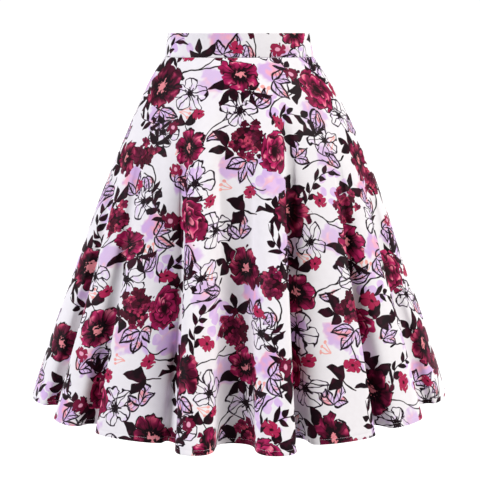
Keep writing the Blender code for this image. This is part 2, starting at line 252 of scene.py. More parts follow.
def monotone_curve(xs: list[float], ys: list[float], at: np.ndarray) -> np.ndarray:
    """Read a smooth curve through a table's points that never overshoots them.

    Args:
        xs: The table's places.
        ys: The table's values.
        at: The places to read.

    Returns:
        The curve's values.
    """
    xs, ys = np.asarray(xs, float), np.asarray(ys, float)
    steps = np.diff(xs)
    slopes = np.diff(ys) / steps
    tangents = np.zeros_like(ys)
    tangents[0], tangents[-1] = slopes[0], slopes[-1]
    for i in range(1, len(xs) - 1):
        if slopes[i - 1] * slopes[i] > 0:
            before = 2 * steps[i] + steps[i - 1]
            after = steps[i] + 2 * steps[i - 1]
            tangents[i] = (before + after) / (before / slopes[i - 1] + after / slopes[i])
    cell = np.clip(np.searchsorted(xs, at) - 1, 0, len(xs) - 2)
    width = steps[cell]
    t = (at - xs[cell]) / width
    low = (2 * t**3 - 3 * t**2 + 1) * ys[cell] + (t**3 - 2 * t**2 + t) * width * tangents[cell]
    high = (3 * t**2 - 2 * t**3) * ys[cell + 1] + (t**3 - t**2) * width * tangents[cell + 1]
    return low + high


@dataclass(frozen=True)
class SkirtForm:
    """The outer face of the hanging skirt and its waistband.

    Columns are counted in samples round the hem, and rows as shares of the way down to it.
    """

    band_height: float = 0.040
    band_half: float = 0.121      # half the width of the waistband's upper edge
    band_depth: float = 0.092
    drop: float = 0.6055          # from the waistband to the hem
    side_lift: float = 0.0165     # how much higher the hem is at the sides
    gap: float = 0.0003           # between the waistband and the panels
    hem_tuck: float = 0.95        # how far the flutes overhang at the hem
    growth: float = 1.1
    lean: float = 13.0            # degrees by which the front's folds fan out
    lean_width: float = 12.0
    lean_power: float = 1.7
    samples: int = 64             # for half a flute
    rounding: int = 9
    crease_grown: float = 0.45    # the share of its length in which a crease grows
    crease_waning: float = 0.5    # and the share at which it starts to fade

    @property
    def lap(self) -> int:
        """The samples once round the hem."""
        return 2 * self.samples * len(FLUTES)

    def middle(self, name: str, part: int) -> int:
        """The sample in the middle of a flute's crest (part 0) or of the valley after it (1)."""
        index = [flute.name for flute in FLUTES].index(name)
        return (2 * index + part) * self.samples + self.samples // 2

    def rounded(self, values: np.ndarray, turn: float = 0.0) -> np.ndarray:
        """Round off a closed series of values.

        Args:
            values: The values of one lap.
            turn: What the series gains over one lap.

        Returns:
            The rounded values.
        """
        reach = self.rounding
        weights = np.hanning(reach + 2)[1:-1]
        weights /= weights.sum()
        lap = np.concatenate([values[-reach:] - turn, values, values[:reach] + turn])
        return np.convolve(lap, weights, mode="same")[reach:-reach]

    @cached_property
    def fold_lines(self) -> np.ndarray:
        """The folds round the hem.

        Returns:
            Rows of values for each sample: angle, swing, height, start and tuck of its fold.
        """
        rows = [[], [], [], [], []]
        s = np.arange(self.samples) / self.samples
        for i, flute in enumerate(FLUTES):
            after = FLUTES[(i + 1) % len(FLUTES)]
            lap = 360.0 if i == len(FLUTES) - 1 else 0.0
            crest_width = flute.second_flank - flute.first_flank
            valley_width = after.first_flank + lap - flute.second_flank
            for first, width, rise, blend in (
                (flute.first_flank, crest_width, flute.crest, 0.0),
                (flute.second_flank, valley_width, flute.valley, 1.0),
            ):
                rows[0].append(first + width * s)
                rows[1].append(width * np.sin(tau * s) / tau)
                rows[2].append(rise * np.sin(pi * s))
                rows[3].append(flute.start + (after.start - flute.start) * s * blend)
                rows[4].append(flute.tuck + (after.tuck - flute.tuck) * s * blend)
        turns = (360.0, 0.0, 0.0, 0.0, 0.0)
        return np.stack([self.rounded(np.concatenate(row), t) for row, t in zip(rows, turns)])

    def plan_axes(self, drop: np.ndarray, theta: np.ndarray) -> tuple[np.ndarray, np.ndarray]:
        """Work out the plan's axes on the side of each angle.

        Args:
            drop: Drops below the waistband.
            theta: Angles in radians.

        Returns:
            Half widths and half depths.
        """
        columns = list(zip(*SECTIONS))
        left, right, front, back = (monotone_curve(columns[0], c, drop) for c in columns[1:])
        side = 0.5 + 0.5 * np.cos(theta)
        return right + (left - right) * side, np.where(np.sin(theta) > 0, front, back)

    def fold_lean(self, angles: np.ndarray, shares: np.ndarray) -> np.ndarray:
        """Work out how much further out a fold of the front stands above the hem.

        Args:
            angles: The folds' angles at the hem, in degrees.
            shares: Shares of the way down to the hem.

        Returns:
            The extra angles in degrees.
        """
        off_middle = ((angles + 90.0) % 360.0 - 180.0) / 90.0
        reach = np.where(np.abs(off_middle) < 1, 1 - np.abs(off_middle) ** 4, 0.0)
        spread = np.tanh(off_middle * 90.0 / self.lean_width)
        return self.lean * spread * reach * (1 - shares) ** self.lean_power

    def face(self, columns: np.ndarray, shares: np.ndarray) -> tuple[np.ndarray, np.ndarray]:
        """Work out points of the skirt's outer face, without its creases.

        Args:
            columns: The places round the hem, in samples; they may pass a full lap.
            shares: The rows' shares (0 to 1) of the way down to the hem.

        Returns:
            The points, and the level directions in which folds stand out there, each as an
            array of [row, column, axis].
        """
        whole = np.floor(columns / self.lap)
        at = columns - whole * self.lap
        lines = []
        for line, turn in zip(self.fold_lines, (360.0, 0.0, 0.0, 0.0, 0.0)):
            closed = np.append(line, line[0] + turn)
            lines.append(np.interp(at, np.arange(self.lap + 1), closed) + whole * turn)
        angle, swing, height, start, tuck = lines
        share = shares[:, None]
        hem_drop = self.drop - self.side_lift * np.cos(np.radians(angle)) ** 2
        drop = self.gap + (hem_drop - self.gap) * share
        grown = np.clip((drop - start) / (self.drop - start), 0, 1) ** self.growth
        tucked = (tuck + (self.hem_tuck - tuck) * grown) * swing
        theta = np.radians(angle - tucked + self.fold_lean(angle, share))
        half, depth = self.plan_axes(drop, theta)
        outward = np.stack([depth * np.cos(theta), -half * np.sin(theta), 0 * theta], axis=-1)
        outward /= np.linalg.norm(outward, axis=-1, keepdims=True)
        plan = [half * np.cos(theta), -depth * np.sin(theta), -self.band_height - drop]
        return np.stack(plan, axis=-1) + outward * (height * grown)[..., None], outward

    def crease_depths(self, columns: np.ndarray, shares: np.ndarray) -> np.ndarray:
        """Work out how far the creases draw the face inwards.

        Args:
            columns: The places round the hem, in samples.
            shares: The rows' shares of the way down to the hem.

        Returns:
            Depths as an array of [row, column].
        """
        angle = np.interp(columns % self.lap, np.arange(self.lap), self.fold_lines[0])
        drop = shares[:, None] * self.drop
        radius = self.band_half + (SECTIONS[-1].left_half - self.band_half) * shares[:, None]
        depths = np.zeros((len(shares), len(columns)))
        for crease in CREASES:
            down = (drop - crease.top) / crease.length
            fade = smooth(down, 0.0, self.crease_grown) * smooth(-down, -1.0, -self.crease_waning)
            off = (angle - crease.angle - crease.lean * down + 180.0) % 360.0 - 180.0
            half_width = crease.half_width * np.where(off < 0, crease.skew, 1.0)
            across = np.radians(off) * radius / half_width
            depths += crease.depth * fade * np.exp(-across * across)
        return depths

    def band_axes(self, share: float | np.ndarray) -> tuple[float | np.ndarray, ...]:
        """Work out the waistband's plan.

        Args:
            share: A share of the way down its height, or an array of them.

        Returns:
            Its half width, front depth and back depth there.
        """
        top = (self.band_half, self.band_depth, self.band_depth)
        seam = (SECTIONS[0].left_half, SECTIONS[0].front_depth, SECTIONS[0].back_depth)
        return tuple(high + (low - high) * share for high, low in zip(top, seam))

    def back_point(self, x: float, drop: float) -> Vector:
        """Find a point of the outer face beside the centre back.

        Args:
            x: The distance from the centre back, along the face.
            drop: The drop below the waistband's upper edge.

        Returns:
            The point.
        """
        if drop < self.band_height:
            half, _, depth = self.band_axes(drop / self.band_height)
        else:
            side = np.array([-pi / 2])
            half, depth = (v[0] for v in self.plan_axes(np.array([drop - self.band_height]), side))
        theta = -pi / 2 + x / half
        return Vector((half * cos(theta), -depth * sin(theta), -drop))

    def back_normal(self, x: float, drop: float, step: float = 0.0005) -> Vector:
        """Find the outward direction of the outer face beside the centre back.

        Args:
            x: The distance from the centre back, along the face.
            drop: The drop below the waistband's upper edge.
            step: How far the points lie away from which it is worked out.

        Returns:
            The direction.
        """
        across = self.back_point(x + step, drop) - self.back_point(x - step, drop)
        up = self.back_point(x, drop) - self.back_point(x, drop + step)
        return up.cross(across).normalized()


def face_normals(points: np.ndarray) -> np.ndarray:
    """Find the outward directions of a sheet.

    Args:
        points: Places as an array of [row, column, axis]; rows run down and columns clockwise.

    Returns:
        The directions, in the same order.
    """
    along = np.gradient(points, axis=1)
    down = np.gradient(points, axis=0)
    out = np.cross(along, down)
    return out / np.linalg.norm(out, axis=-1, keepdims=True)


# ---------------------------------------------------------------- cloth as meshes


@dataclass(frozen=True)
class Sector:
    """The flat cut of a flared panel: a ring sector."""

    inner: float
    length: float
    spread: float

    @property
    def outer(self) -> float:
        """The hem's radius."""
        return self.inner + self.length

    @property
    def width(self) -> float:
        """The width of the cloth that the cut needs."""
        return 2 * self.outer * sin(self.spread / 2)

    @property
    def height(self) -> float:
        """The length of the cloth that the cut needs."""
        return self.outer - self.inner * cos(self.spread / 2)

    @property
    def area(self) -> float:
        """The cut's area."""
        return self.spread / 2 * (self.outer**2 - self.inner**2)


def grid_piece(name: str, points: np.ndarray, flat: np.ndarray) -> Object:
    """Make a sheet from a primitive grid whose points are then set in place.

    Args:
        name: The piece's name.
        points: Places as an array of [row, column, axis], rows running down.
        flat: Each point's place on the flat cloth, as an array of [row, column, axis].

    Returns:
        The sheet, with its flat places in the UV map "Cloth".
    """
    rows, columns = points.shape[0] - 1, points.shape[1] - 1
    bpy.ops.mesh.primitive_grid_add(x_subdivisions=columns, y_subdivisions=rows, size=1)
    piece = bpy.context.object
    piece.name = piece.data.name = name
    mesh = piece.data
    plain = np.empty(len(mesh.vertices) * 3, np.float32)
    mesh.vertices.foreach_get("co", plain)
    plain = plain.reshape(-1, 3)
    column = np.rint((0.5 - plain[:, 0]) * columns).astype(int)
    row = np.rint((0.5 - plain[:, 1]) * rows).astype(int)
    mesh.vertices.foreach_set("co", points[row, column].astype(np.float32).ravel())
    corners = np.empty(len(mesh.loops), np.int32)
    mesh.loops.foreach_get("vertex_index", corners)
    mesh.uv_layers[0].name = "Cloth"
    mesh.uv_layers[0].data.foreach_set(
        "uv", flat[row[corners], column[corners]].astype(np.float32).ravel()
    )
    mesh.attributes.new("row", "INT", "POINT").data.foreach_set("value", row.astype(np.int32))
    return piece


def make_wall(
    piece: Object, face: Material, reverse: Material, thickness: float, thin: float, thick_rows: range
) -> None:
    """Give a sheet its wall, from its outer face inwards.

    Args:
        piece: The sheet.
        face: The finish of its outer side.
        reverse: The finish of its inner side.
        thickness: The wall's thickness in the thick rows.
        thin: The share of it that the other rows have.
        thick_rows: The rows of points that have the whole thickness.
    """
    mesh = piece.data
    mesh.materials.append(face)
    mesh.materials.append(reverse)
    rows = np.empty(len(mesh.vertices), np.int32)
    mesh.attributes["row"].data.foreach_get("value", rows)
    group = piece.vertex_groups.new(name="thick")
    group.add([int(i) for i in np.flatnonzero(np.isin(rows, thick_rows))], 1.0, "REPLACE")
    mesh.attributes.remove(mesh.attributes["row"])
    wall = piece.modifiers.new("wall", "SOLIDIFY")
    wall.thickness = thickness
    wall.offset = -1.0
    wall.vertex_group = group.name
    wall.thickness_vertex_group = thin
    wall.material_offset = 1
    bpy.ops.object.modifier_apply(modifier=wall.name)
    piece.vertex_groups.clear()


def repeat_mesh(name: str, unit: Object, places: list[Matrix], finish: Material) -> Object:
    """Copy one small piece to many places, as a single mesh.

    Args:
        name: The name of the joined piece.
        unit: The piece that repeats; it is used up.
        places: A transform for each copy.
        finish: The finish of them all.

    Returns:
        The joined piece.
    """
    source = unit.data
    points = np.array([vertex.co for vertex in source.vertices])
    faces = [tuple(face.vertices) for face in source.polygons]
    turned = [points @ np.array(m.to_3x3()).T + np.array(m.translation) for m in places]
    count = len(points)
    mesh = bpy.data.meshes.new(name)
    joined = [tuple(i + k * count for i in face) for k in range(len(places)) for face in faces]
    mesh.from_pydata(np.concatenate(turned), [], joined)
    mesh.shade_smooth()
    mesh.materials.append(finish)
    bpy.data.objects.remove(unit, do_unlink=True)
    piece = bpy.data.objects.new(name, mesh)
    bpy.context.scene.collection.objects.link(piece)
    return piece


def round_edges(piece: Object, width: float, sharper: float) -> None:
    """Round the edges of the piece in hand.

    Args:
        piece: The piece, which is the active object.
        width: The width of the rounding.
        sharper: The angle, in degrees, from which an edge is rounded.
    """
    rounding = piece.modifiers.new("rounding", "BEVEL")
    rounding.width = width
    rounding.segments = 3
    rounding.limit_method = "ANGLE"
    rounding.angle_limit = radians(sharper)
    bpy.ops.object.modifier_apply(modifier=rounding.name)


def standing(point: Vector, along: Vector, out: Vector) -> Matrix:
    """Make a transform that stands a small piece on the cloth.

    Args:
        point: Where its origin goes.
        along: Where its x axis points.
        out: The way out of the cloth, for its z axis.

    Returns:
        The transform.
    """
    x = along.normalized()
    y = out.cross(x).normalized()
    turn = Matrix((x, y, x.cross(y))).transposed()
    return Matrix.Translation(point) @ turn.to_4x4()


# ---------------------------------------------------------------- the printed design


class Place(NamedTuple):
    """Where one drawing lies in the design's repeat, in centimetres, its radius and its turn."""

    across: float
    up: float
    size: float
    turn: float


class Dye(NamedTuple):
    """The colours of a flower's dye: light, deep, deep in the richer flowers, and gleaming."""

    light: str
    deep: str
    rich: str
    glow: str


RADIUS: Steps = (
    ("x_squared", "MULTIPLY", "x", "x"),
    ("radius", "SQRT", ("MULTIPLY_ADD", "y", "y", "x_squared")),
)
POLAR: Steps = (*RADIUS, ("turn", "ARCTAN2", "y", "x"))


def folded(turn: str, spread: float) -> Steps:
    """Turn the plane so that the leaf or petal of an index lies along its x axis.

    Args:
        turn: The name of the angle round the stem or heart.
        spread: The angle between two leaves or petals, in radians.

    Returns:
        The steps, which need "index" and give "leaf_x" and "leaf_y".
    """
    return (
        ("bent", "MULTIPLY_ADD", "index", -spread, turn),
        ("leaf_x", "MULTIPLY", "radius", ("COSINE", "bent")),
        ("leaf_y", "MULTIPLY", "radius", ("SINE", "bent")),
    )


class Leaves(NamedTuple):
    """Leaves on a stem.

    The spread is the angle between two of them in radians, the reach how many stand on either
    side of the middle, and the width a leaf's width as a share of its length.
    """

    spread: float
    reach: float
    width: float


def fan(spread: float, reach: float) -> Steps:
    """Fold the plane round a stem that leaves stand on.

    Args:
        spread: The angle between two leaves, in radians.
        reach: How many stand on either side of the middle.

    Returns:
        The steps, which give "leaf_x" and "leaf_y" in the nearest leaf, and its "index".
    """
    nearest = ("ROUND", ("DIVIDE", "turn", spread))
    return (
        *POLAR,
        ("index", "MINIMUM", ("MAXIMUM", nearest, -reach), reach),
        *folded("turn", spread),
    )


def leaf(width: float, bend: float) -> Steps:
    """Shape pointed leaves, each of its own length.

    Args:
        width: A leaf's width as a share of its length.
        bend: How far the leaves curl.

    Returns:
        The steps, which give "inside", above zero within a leaf, and "side" off its rib.
    """
    return (
        ("pick", "MULTIPLY_ADD", "index", 2.3, "chance_turn"),
        ("swing", "SINE", "pick"),
        ("length", "MULTIPLY_ADD", "swing", 0.20, 0.80),
        ("share", "DIVIDE", "leaf_x", "length"),
        ("rest", "SUBTRACT", 1.0, "share"),
        ("bow", "MAXIMUM", ("MULTIPLY", "share", "rest"), 0.0),
        ("round", "POWER", "bow", 0.8),
        ("lead", "MULTIPLY_ADD", "share", -0.55, 1.28),
        ("half", "MULTIPLY", ("MULTIPLY", "round", "lead"), width),
        ("lean", "MULTIPLY", "swing", bend),
        ("curl", "MULTIPLY_ADD", "bow", "lean", "leaf_y"),
        ("side", "ABSOLUTE", "curl"),
        ("inside", "SUBTRACT", "half", "side"),
    )


def petals(count: float) -> Steps:
    """Part a flower into petals round its heart.

    Args:
        count: How many petals there are.

    Returns:
        The steps, which give "off", from -1 to 1 across each petal, and "side", its size.
    """
    return (
        *POLAR,
        ("count", "MULTIPLY_ADD", "turn", count / tau, ("MULTIPLY_ADD", "mid", 1.1, 10.0)),
        ("off", "MULTIPLY_ADD", ("FRACT", "count"), 2.0, -1.0),
        ("side", "ABSOLUTE", "off"),
    )


def dyed(dye: Dye) -> Steps:
    """Lay the dye of a flower: patches of two colours, the deep one richer in some flowers.

    Args:
        dye: The dye's colours.

    Returns:
        The steps, which need "tip", the share of gleam, and give "glowing".
    """
    return (
        ("patch", "SOFT", "mid", 0.40, 0.62),
        ("choice", "SOFT", "chance", 0.35, 0.75),
        ("under", "MIX", "choice", dye.deep, dye.rich),
        ("flesh", "MIX", "patch", dye.light, "under"),
        ("gleam", "MULTIPLY", ("SOFT", "mid", 0.47, 0.36), "tip"),
        ("glowing", "MIX", "gleam", "flesh", dye.glow),
    )


INK = "#170910"

# The edge of a flower's dye at its rim, and a line of ink that strays from it for parts of the way.
EDGE: Steps = (
    ("inner", "SUBTRACT", "rim", "radius"),
    ("fill", "SOFT", "inner", 0.0, 0.03),
    ("stray_off", "ABSOLUTE", ("SUBTRACT", "inner", ("MULTIPLY_ADD", "fine", 0.16, -0.05))),
    ("seen", "SOFT", "big", 0.40, 0.47),
    ("stray", "MULTIPLY", ("SOFT", "stray_off", 0.042, 0.020), "seen"),
    ("alpha", "MAXIMUM", "fill", "stray"),
)
# The dye of leaves that are printed nearly black.
DARK: Steps = (
    ("patch", "SOFT", "mid", 0.46, 0.64),
    ("colour", "MIX", "patch", "#180810", "#300B1B"),
)


def anemone(dye: Dye) -> Steps:
    """Draw a wide flower: broad petals, a ragged black ring of stamens and a salmon heart.

    Args:
        dye: The dye's colours.

    Returns:
        The drawing's steps.
    """
    return (
        *petals(6),
        ("wavy", "MULTIPLY_ADD", "fine", 0.10, ("MULTIPLY_ADD", ("POWER", "side", 4.0), -0.20, 0.70)),
        ("rim", "MULTIPLY_ADD", "mid", 0.36, "wavy"),
        *EDGE,
        ("arc", "MULTIPLY", ("SUBTRACT", 1.0, "side"), "radius"),
        ("under_petal", "SOFT", "off", 0.15, 1.0),
        ("pleat", "SINE", ("MULTIPLY_ADD", "turn", 17.0, ("MULTIPLY_ADD", "mid", 9.0, "turn"))),
        ("vein", "SOFT", "pleat", 0.72, 0.98),
        ("edge", "SOFT", "inner", 0.045, 0.0),
        ("shadow", "MAXIMUM", ("MULTIPLY", "under_petal", 0.84), ("MULTIPLY", "vein", 0.64)),
        ("tip", "SOFT", "radius", 0.42, 0.80),
        *dyed(dye),
        ("shaded", "MIX", ("MAXIMUM", "shadow", ("MULTIPLY", "edge", 0.5)), "glowing", "#290612"),
        ("throat", "MULTIPLY", ("SOFT", "radius", 0.72, 0.36), 0.8),
        ("throated", "MIX", "throat", "shaded", "#2B0714"),
        ("inked", "MIX", ("MAXIMUM", ("SOFT", "arc", 0.09, 0.035), "stray"), "throated", INK),
        ("ragged", "MULTIPLY_ADD", "fine", -0.42, ("MULTIPLY_ADD", "pleat", -0.05, "radius")),
        ("cored", "MIX", ("SOFT", "ragged", 0.24, 0.15), "inked", INK),
        ("heart", "SOFT", ("MULTIPLY_ADD", "fine", 0.50, "radius"), 0.44, 0.38),
        ("colour", "MIX", "heart", "cored", "#D9828A"),
    )


def double_flower(dye: Dye) -> Steps:
    """Draw a full flower of several rows of petals, dark at their feet and in its middle.

    Args:
        dye: The dye's colours.

    Returns:
        The drawing's steps.
    """
    return (
        *POLAR,
        ("spin", "MULTIPLY_ADD", "mid", 1.6, ("MULTIPLY_ADD", "radius", 2.3, "turn")),
        ("scallop", "ABSOLUTE", ("SINE", ("MULTIPLY", "spin", 2.5))),
        ("growth", "MULTIPLY_ADD", "radius", 3.1, ("MULTIPLY_ADD", "scallop", -0.62, 5.0)),
        ("ring", "FRACT", ("MULTIPLY_ADD", "mid", 0.8, "growth")),
        ("rim", "MULTIPLY_ADD", "mid", 0.40, ("MULTIPLY_ADD", "scallop", 0.22, 0.58)),
        *EDGE,
        ("tip", "SOFT", "ring", 0.35, 0.75),
        ("cleft", "SOFT", "scallop", 0.16, 0.04),
        ("gaps", "MULTIPLY", ("MAXIMUM", ("SOFT", "ring", 0.86, 0.96), "cleft"), 0.95),
        *dyed(dye),
        ("shade", "MULTIPLY", ("SOFT", "ring", 0.55, 0.0), 0.9),
        ("shaded", "MIX", "shade", "glowing", "#2C0614"),
        ("eyed", "MIX", ("SOFT", "radius", 0.40, 0.14), "shaded", "#22070F"),
        ("colour", "MIX", ("MAXIMUM", "gaps", "stray"), "eyed", INK),
    )


def cluster(dye: Dye) -> Steps:
    """Draw a round head of many florets, some of them outlined in ink.

    Args:
        dye: The dye's colours.

    Returns:
        The drawing's steps.
    """
    return (
        *RADIUS,
        ("lobes", "MULTIPLY", ("MULTIPLY_ADD", "tone", 6.0, "floret_turn"), 2.5),
        ("lobe", "ABSOLUTE", ("COSINE", "lobes")),
        ("within", "SUBTRACT", ("MULTIPLY_ADD", "lobe", 0.26, 0.43), "floret"),
        ("face", "SOFT", "within", 0.0, 0.04),
        ("florets", "MULTIPLY", "face", ("LESS_THAN", "floret_radius", 0.84)),
        ("ground", "SOFT", ("MULTIPLY_ADD", "fine", 0.25, "radius"), 0.80, 0.76),
        ("alpha", "MAXIMUM", "florets", "ground"),
        ("tip", "SOFT", "floret", 0.12, 0.32),
        *dyed(dye),
        ("bright", "MULTIPLY", ("SOFT", "tone", 0.62, 0.78), 0.8),
        ("dim", "SOFT", "tone", 0.44, 0.30),
        ("dimmed", "MIX", "dim", ("MIX", "bright", "glowing", dye.light), "#4A0B22"),
        ("near", "MULTIPLY", ("SUBTRACT", 1.0, ("SOFT", "floret", 0.0, 0.34)), 0.75),
        ("cleft", "SOFT", "lobe", 0.30, 0.08),
        ("line", "MULTIPLY", ("MAXIMUM", "cleft", ("SOFT", "within", 0.085, 0.025)), 0.95),
        ("petalled", "MIX", "line", ("MIX", "near", "dimmed", "#2E0714"), "#26060F"),
        ("colour", "MIX", ("SUBTRACT", 1.0, "florets"), "petalled", "#220610"),
    )


def blossom(light: str, deep: str, heart: str) -> Steps:
    """Draw a small flower of five uneven lobes.

    Args:
        light: The colour of some of the flowers.
        deep: The colour of the others.
        heart: The colour of the heart of the open ones.

    Returns:
        The drawing's steps.
    """
    return (
        *POLAR,
        ("waves", "MULTIPLY", ("MULTIPLY_ADD", "mid", 3.0, "turn"), 2.5),
        ("wave", "ABSOLUTE", ("COSINE", "waves")),
        ("lobe", "POWER", "wave", 0.45),
        ("rim", "MULTIPLY_ADD", "fine", 0.12, ("MULTIPLY_ADD", "lobe", 0.46, 0.40)),
        ("inner", "SUBTRACT", "rim", "radius"),
        ("alpha", "SOFT", "inner", 0.0, 0.06),
        ("edge", "SOFT", "inner", 0.12, 0.04),
        ("line", "MULTIPLY", ("MAXIMUM", ("SOFT", "wave", 0.30, 0.06), "edge"), 0.6),
        ("flesh", "MIX", ("SOFT", "chance", 0.45, 0.55), deep, light),
        ("lined", "MIX", "line", "flesh", "#3C0A1C"),
        ("open", "LESS_THAN", "chance", 0.55),
        ("hearted", "MIX", ("MULTIPLY", ("SOFT", "radius", 0.30, 0.20), "open"), "lined", heart),
        ("eye", "SUBTRACT", ("SOFT", "radius", 0.24, 0.08), "open"),
        ("colour", "MIX", "eye", "hearted", "#2A0914"),
    )


def dark_leaves(leaves: Leaves) -> Steps:
    """Draw leaves printed nearly black, on a short stalk.

    Args:
        leaves: How the leaves stand.

    Returns:
        The drawing's steps.
    """
    return (
        *fan(leaves.spread, leaves.reach),
        *leaf(leaves.width, 0.75),
        ("stalk_line", "SOFT", ("ABSOLUTE", ("MULTIPLY_ADD", "x_squared", 0.35, "y")), 0.040, 0.018),
        ("near", "SOFT", "radius", 0.62, 0.56),
        ("stalk", "MULTIPLY", ("MULTIPLY", "stalk_line", ("SOFT", "x", 0.12, 0.08)), "near"),
        ("alpha", "MAXIMUM", ("SOFT", "inside", 0.0, 0.02), "stalk"),
        *DARK,
    )


def dark_branch(pitch: float, length: float, width: float) -> Steps:
    """Draw a bent twig with nearly black leaves on either side in turn.

    Args:
        pitch: The way along the twig between two leaves of a side.
        length: A leaf's length.
        width: A leaf's width as a share of its length.

    Returns:
        The drawing's steps.
    """
    return (
        ("way", "MULTIPLY_ADD", ("MULTIPLY", "x", "x"), 0.45, "y"),
        ("above", "SIGN", "way"),
        ("beside", "ABSOLUTE", "way"),
        ("along", "MULTIPLY_ADD", "above", pitch / 4, "x"),
        ("which", "DIVIDE", ("MULTIPLY_ADD", "beside", -0.9, "along"), pitch),
        ("low", "MAXIMUM", ("ROUND", "which"), -2.0),
        ("count", "MINIMUM", "low", 1.0),
        ("index", "MULTIPLY_ADD", "above", 0.37, "count"),
        ("from_root", "MULTIPLY_ADD", "count", -pitch, "along"),
        ("leaf_x", "MULTIPLY_ADD", "beside", 0.74 / length, ("MULTIPLY", "from_root", 0.67 / length)),
        ("leaf_y", "MULTIPLY_ADD", "beside", 0.67 / length, ("MULTIPLY", "from_root", -0.74 / length)),
        *leaf(width, 0.35),
        ("twig_end", "SOFT", ("ABSOLUTE", "x"), 0.98, 0.90),
        ("twig", "MULTIPLY", ("SOFT", "beside", 0.030, 0.012), "twig_end"),
        ("alpha", "MAXIMUM", ("SOFT", "inside", 0.0, 0.03), "twig"),
        *DARK,
    )


def drawn_leaves(leaves: Leaves, line: float) -> Steps:
    """Draw leaves in ink with a rib and veins, stained lilac or salmon.

    Args:
        leaves: How the leaves stand.
        line: The width of the pen's line.

    Returns:
        The drawing's steps.
    """
    return (
        *fan(leaves.spread, leaves.reach),
        *leaf(leaves.width, 0.60),
        ("outline", "SOFT", ("ABSOLUTE", "inside"), line * 1.4, line * 0.6),
        ("rib", "SOFT", "side", line * 1.1, line * 0.5),
        ("lanes", "MULTIPLY", ("MULTIPLY_ADD", "side", -1.3, "share"), 4.0),
        ("lane", "ABSOLUTE", ("SUBTRACT", ("FRACT", "lanes"), 0.5)),
        ("body", "SOFT", "inside", 0.0, 0.02),
        ("vein", "MULTIPLY", ("SOFT", "lane", 0.5 - line * 2.6, 0.5 - line * 1.0), "body"),
        ("span", "MULTIPLY", ("SOFT", "share", -0.03, 0.03), ("SOFT", "share", 1.10, 1.04)),
        ("ink", "MULTIPLY", ("MAXIMUM", ("MAXIMUM", "outline", "rib"), "vein"), "span"),
        ("smear", "SOFT", ("MULTIPLY_ADD", "mid", 0.30, "inside"), 0.12, 0.16),
        ("stain", "MULTIPLY", ("MULTIPLY", "smear", "span"), 0.92),
        ("alpha", "MAXIMUM", "ink", "stain"),
        ("warm", "SOFT", ("MULTIPLY_ADD", "curl", 0.8, "mid"), 0.54, 0.70),
        ("pale", "SOFT", "fine", 0.52, 0.70),
        ("dye", "MIX", ("MULTIPLY", "pale", 0.45), ("MIX", "warm", "#CDAEDA", "#E08C98"), "#F2E8F6"),
        ("colour", "MIX", "ink", "dye", INK),
    )


def drawn_flower(line: float) -> Steps:
    """Draw a flower of five long petals in ink, left white but for a breath of lilac.

    Args:
        line: The width of the pen's line.

    Returns:
        The drawing's steps.
    """
    return (
        *POLAR,
        ("sway", "MULTIPLY_ADD", "mid", 0.9, "turn"),
        ("index", "ROUND", ("DIVIDE", "sway", tau / 5)),
        *folded("sway", tau / 5),
        ("egg_x", "MULTIPLY_ADD", "leaf_x", 2.4, -1.35),
        ("egg_y", "MULTIPLY", "leaf_y", ("MULTIPLY_ADD", "leaf_x", -1.2, 3.75)),
        ("egg", "SQRT", ("MULTIPLY_ADD", "egg_y", "egg_y", ("MULTIPLY", "egg_x", "egg_x"))),
        ("edge", "ABSOLUTE", ("SUBTRACT", "egg", 1.0)),
        ("outline", "SOFT", "edge", line * 3.6, line * 1.6),
        ("body", "SOFT", "egg", 1.0, 0.95),
        ("fold_off", "ABSOLUTE", ("SUBTRACT", "leaf_y", ("MULTIPLY_ADD", "mid", 0.5, -0.25))),
        ("fold", "MULTIPLY", ("SOFT", "fold_off", line * 0.9, line * 0.4), "body"),
        ("rays", "MULTIPLY", "turn", 8.0),
        ("near", "SOFT", "radius", 0.44, 0.34),
        ("ray", "MULTIPLY", ("SOFT", ("COSINE", "rays"), 0.45, 0.85), "near"),
        ("eye", "SOFT", "radius", 0.19, 0.13),
        ("ink", "MAXIMUM", ("MAXIMUM", ("MAXIMUM", "outline", "ray"), "fold"), "eye"),
        ("stain", "MULTIPLY", ("MULTIPLY", ("SOFT", "mid", 0.50, 0.66), "body"), 0.6),
        ("alpha", "MAXIMUM", "ink", "stain"),
        ("colour", "MIX", "ink", "#D9C0E4", INK),
    )


def vine(bend: float, line: float) -> Steps:
    """Draw a winding stem with a side shoot and a small leaf at each end.

    Args:
        bend: How far the stem winds.
        line: The width of the stem.

    Returns:
        The drawing's steps.
    """
    return (
        ("way", "MULTIPLY_ADD", ("SINE", ("MULTIPLY", "x", 2.6)), bend, "y"),
        ("far", "ABSOLUTE", "x"),
        ("main_end", "SOFT", "far", 1.0, 0.96),
        ("main", "MULTIPLY", ("SOFT", ("ABSOLUTE", "way"), line, line * 0.4), "main_end"),
        ("rise", "POWER", ("MAXIMUM", "x", 0.0), 1.4),
        ("shoot_off", "ABSOLUTE", ("MULTIPLY_ADD", "rise", -0.75, "way")),
        ("shoot_end", "SOFT", "far", 0.66, 0.62),
        ("shoot_begun", "MULTIPLY", ("SOFT", "shoot_off", line, line * 0.4), "shoot_end"),
        ("shoot", "MULTIPLY", "shoot_begun", ("SOFT", "x", 0.02, 0.06)),
        ("bud_x", "MULTIPLY_ADD", "far", 5.6, -4.9),
        ("bud_y", "MULTIPLY", "way", 14.0),
        ("round", "MULTIPLY_ADD", "bud_y", "bud_y", ("MULTIPLY", "bud_x", "bud_x")),
        ("alpha", "MAXIMUM", ("MAXIMUM", "main", "shoot"), ("SOFT", "round", 0.62, 0.54)),
        ("colour", "MIX", 0.0, INK, INK),
    )


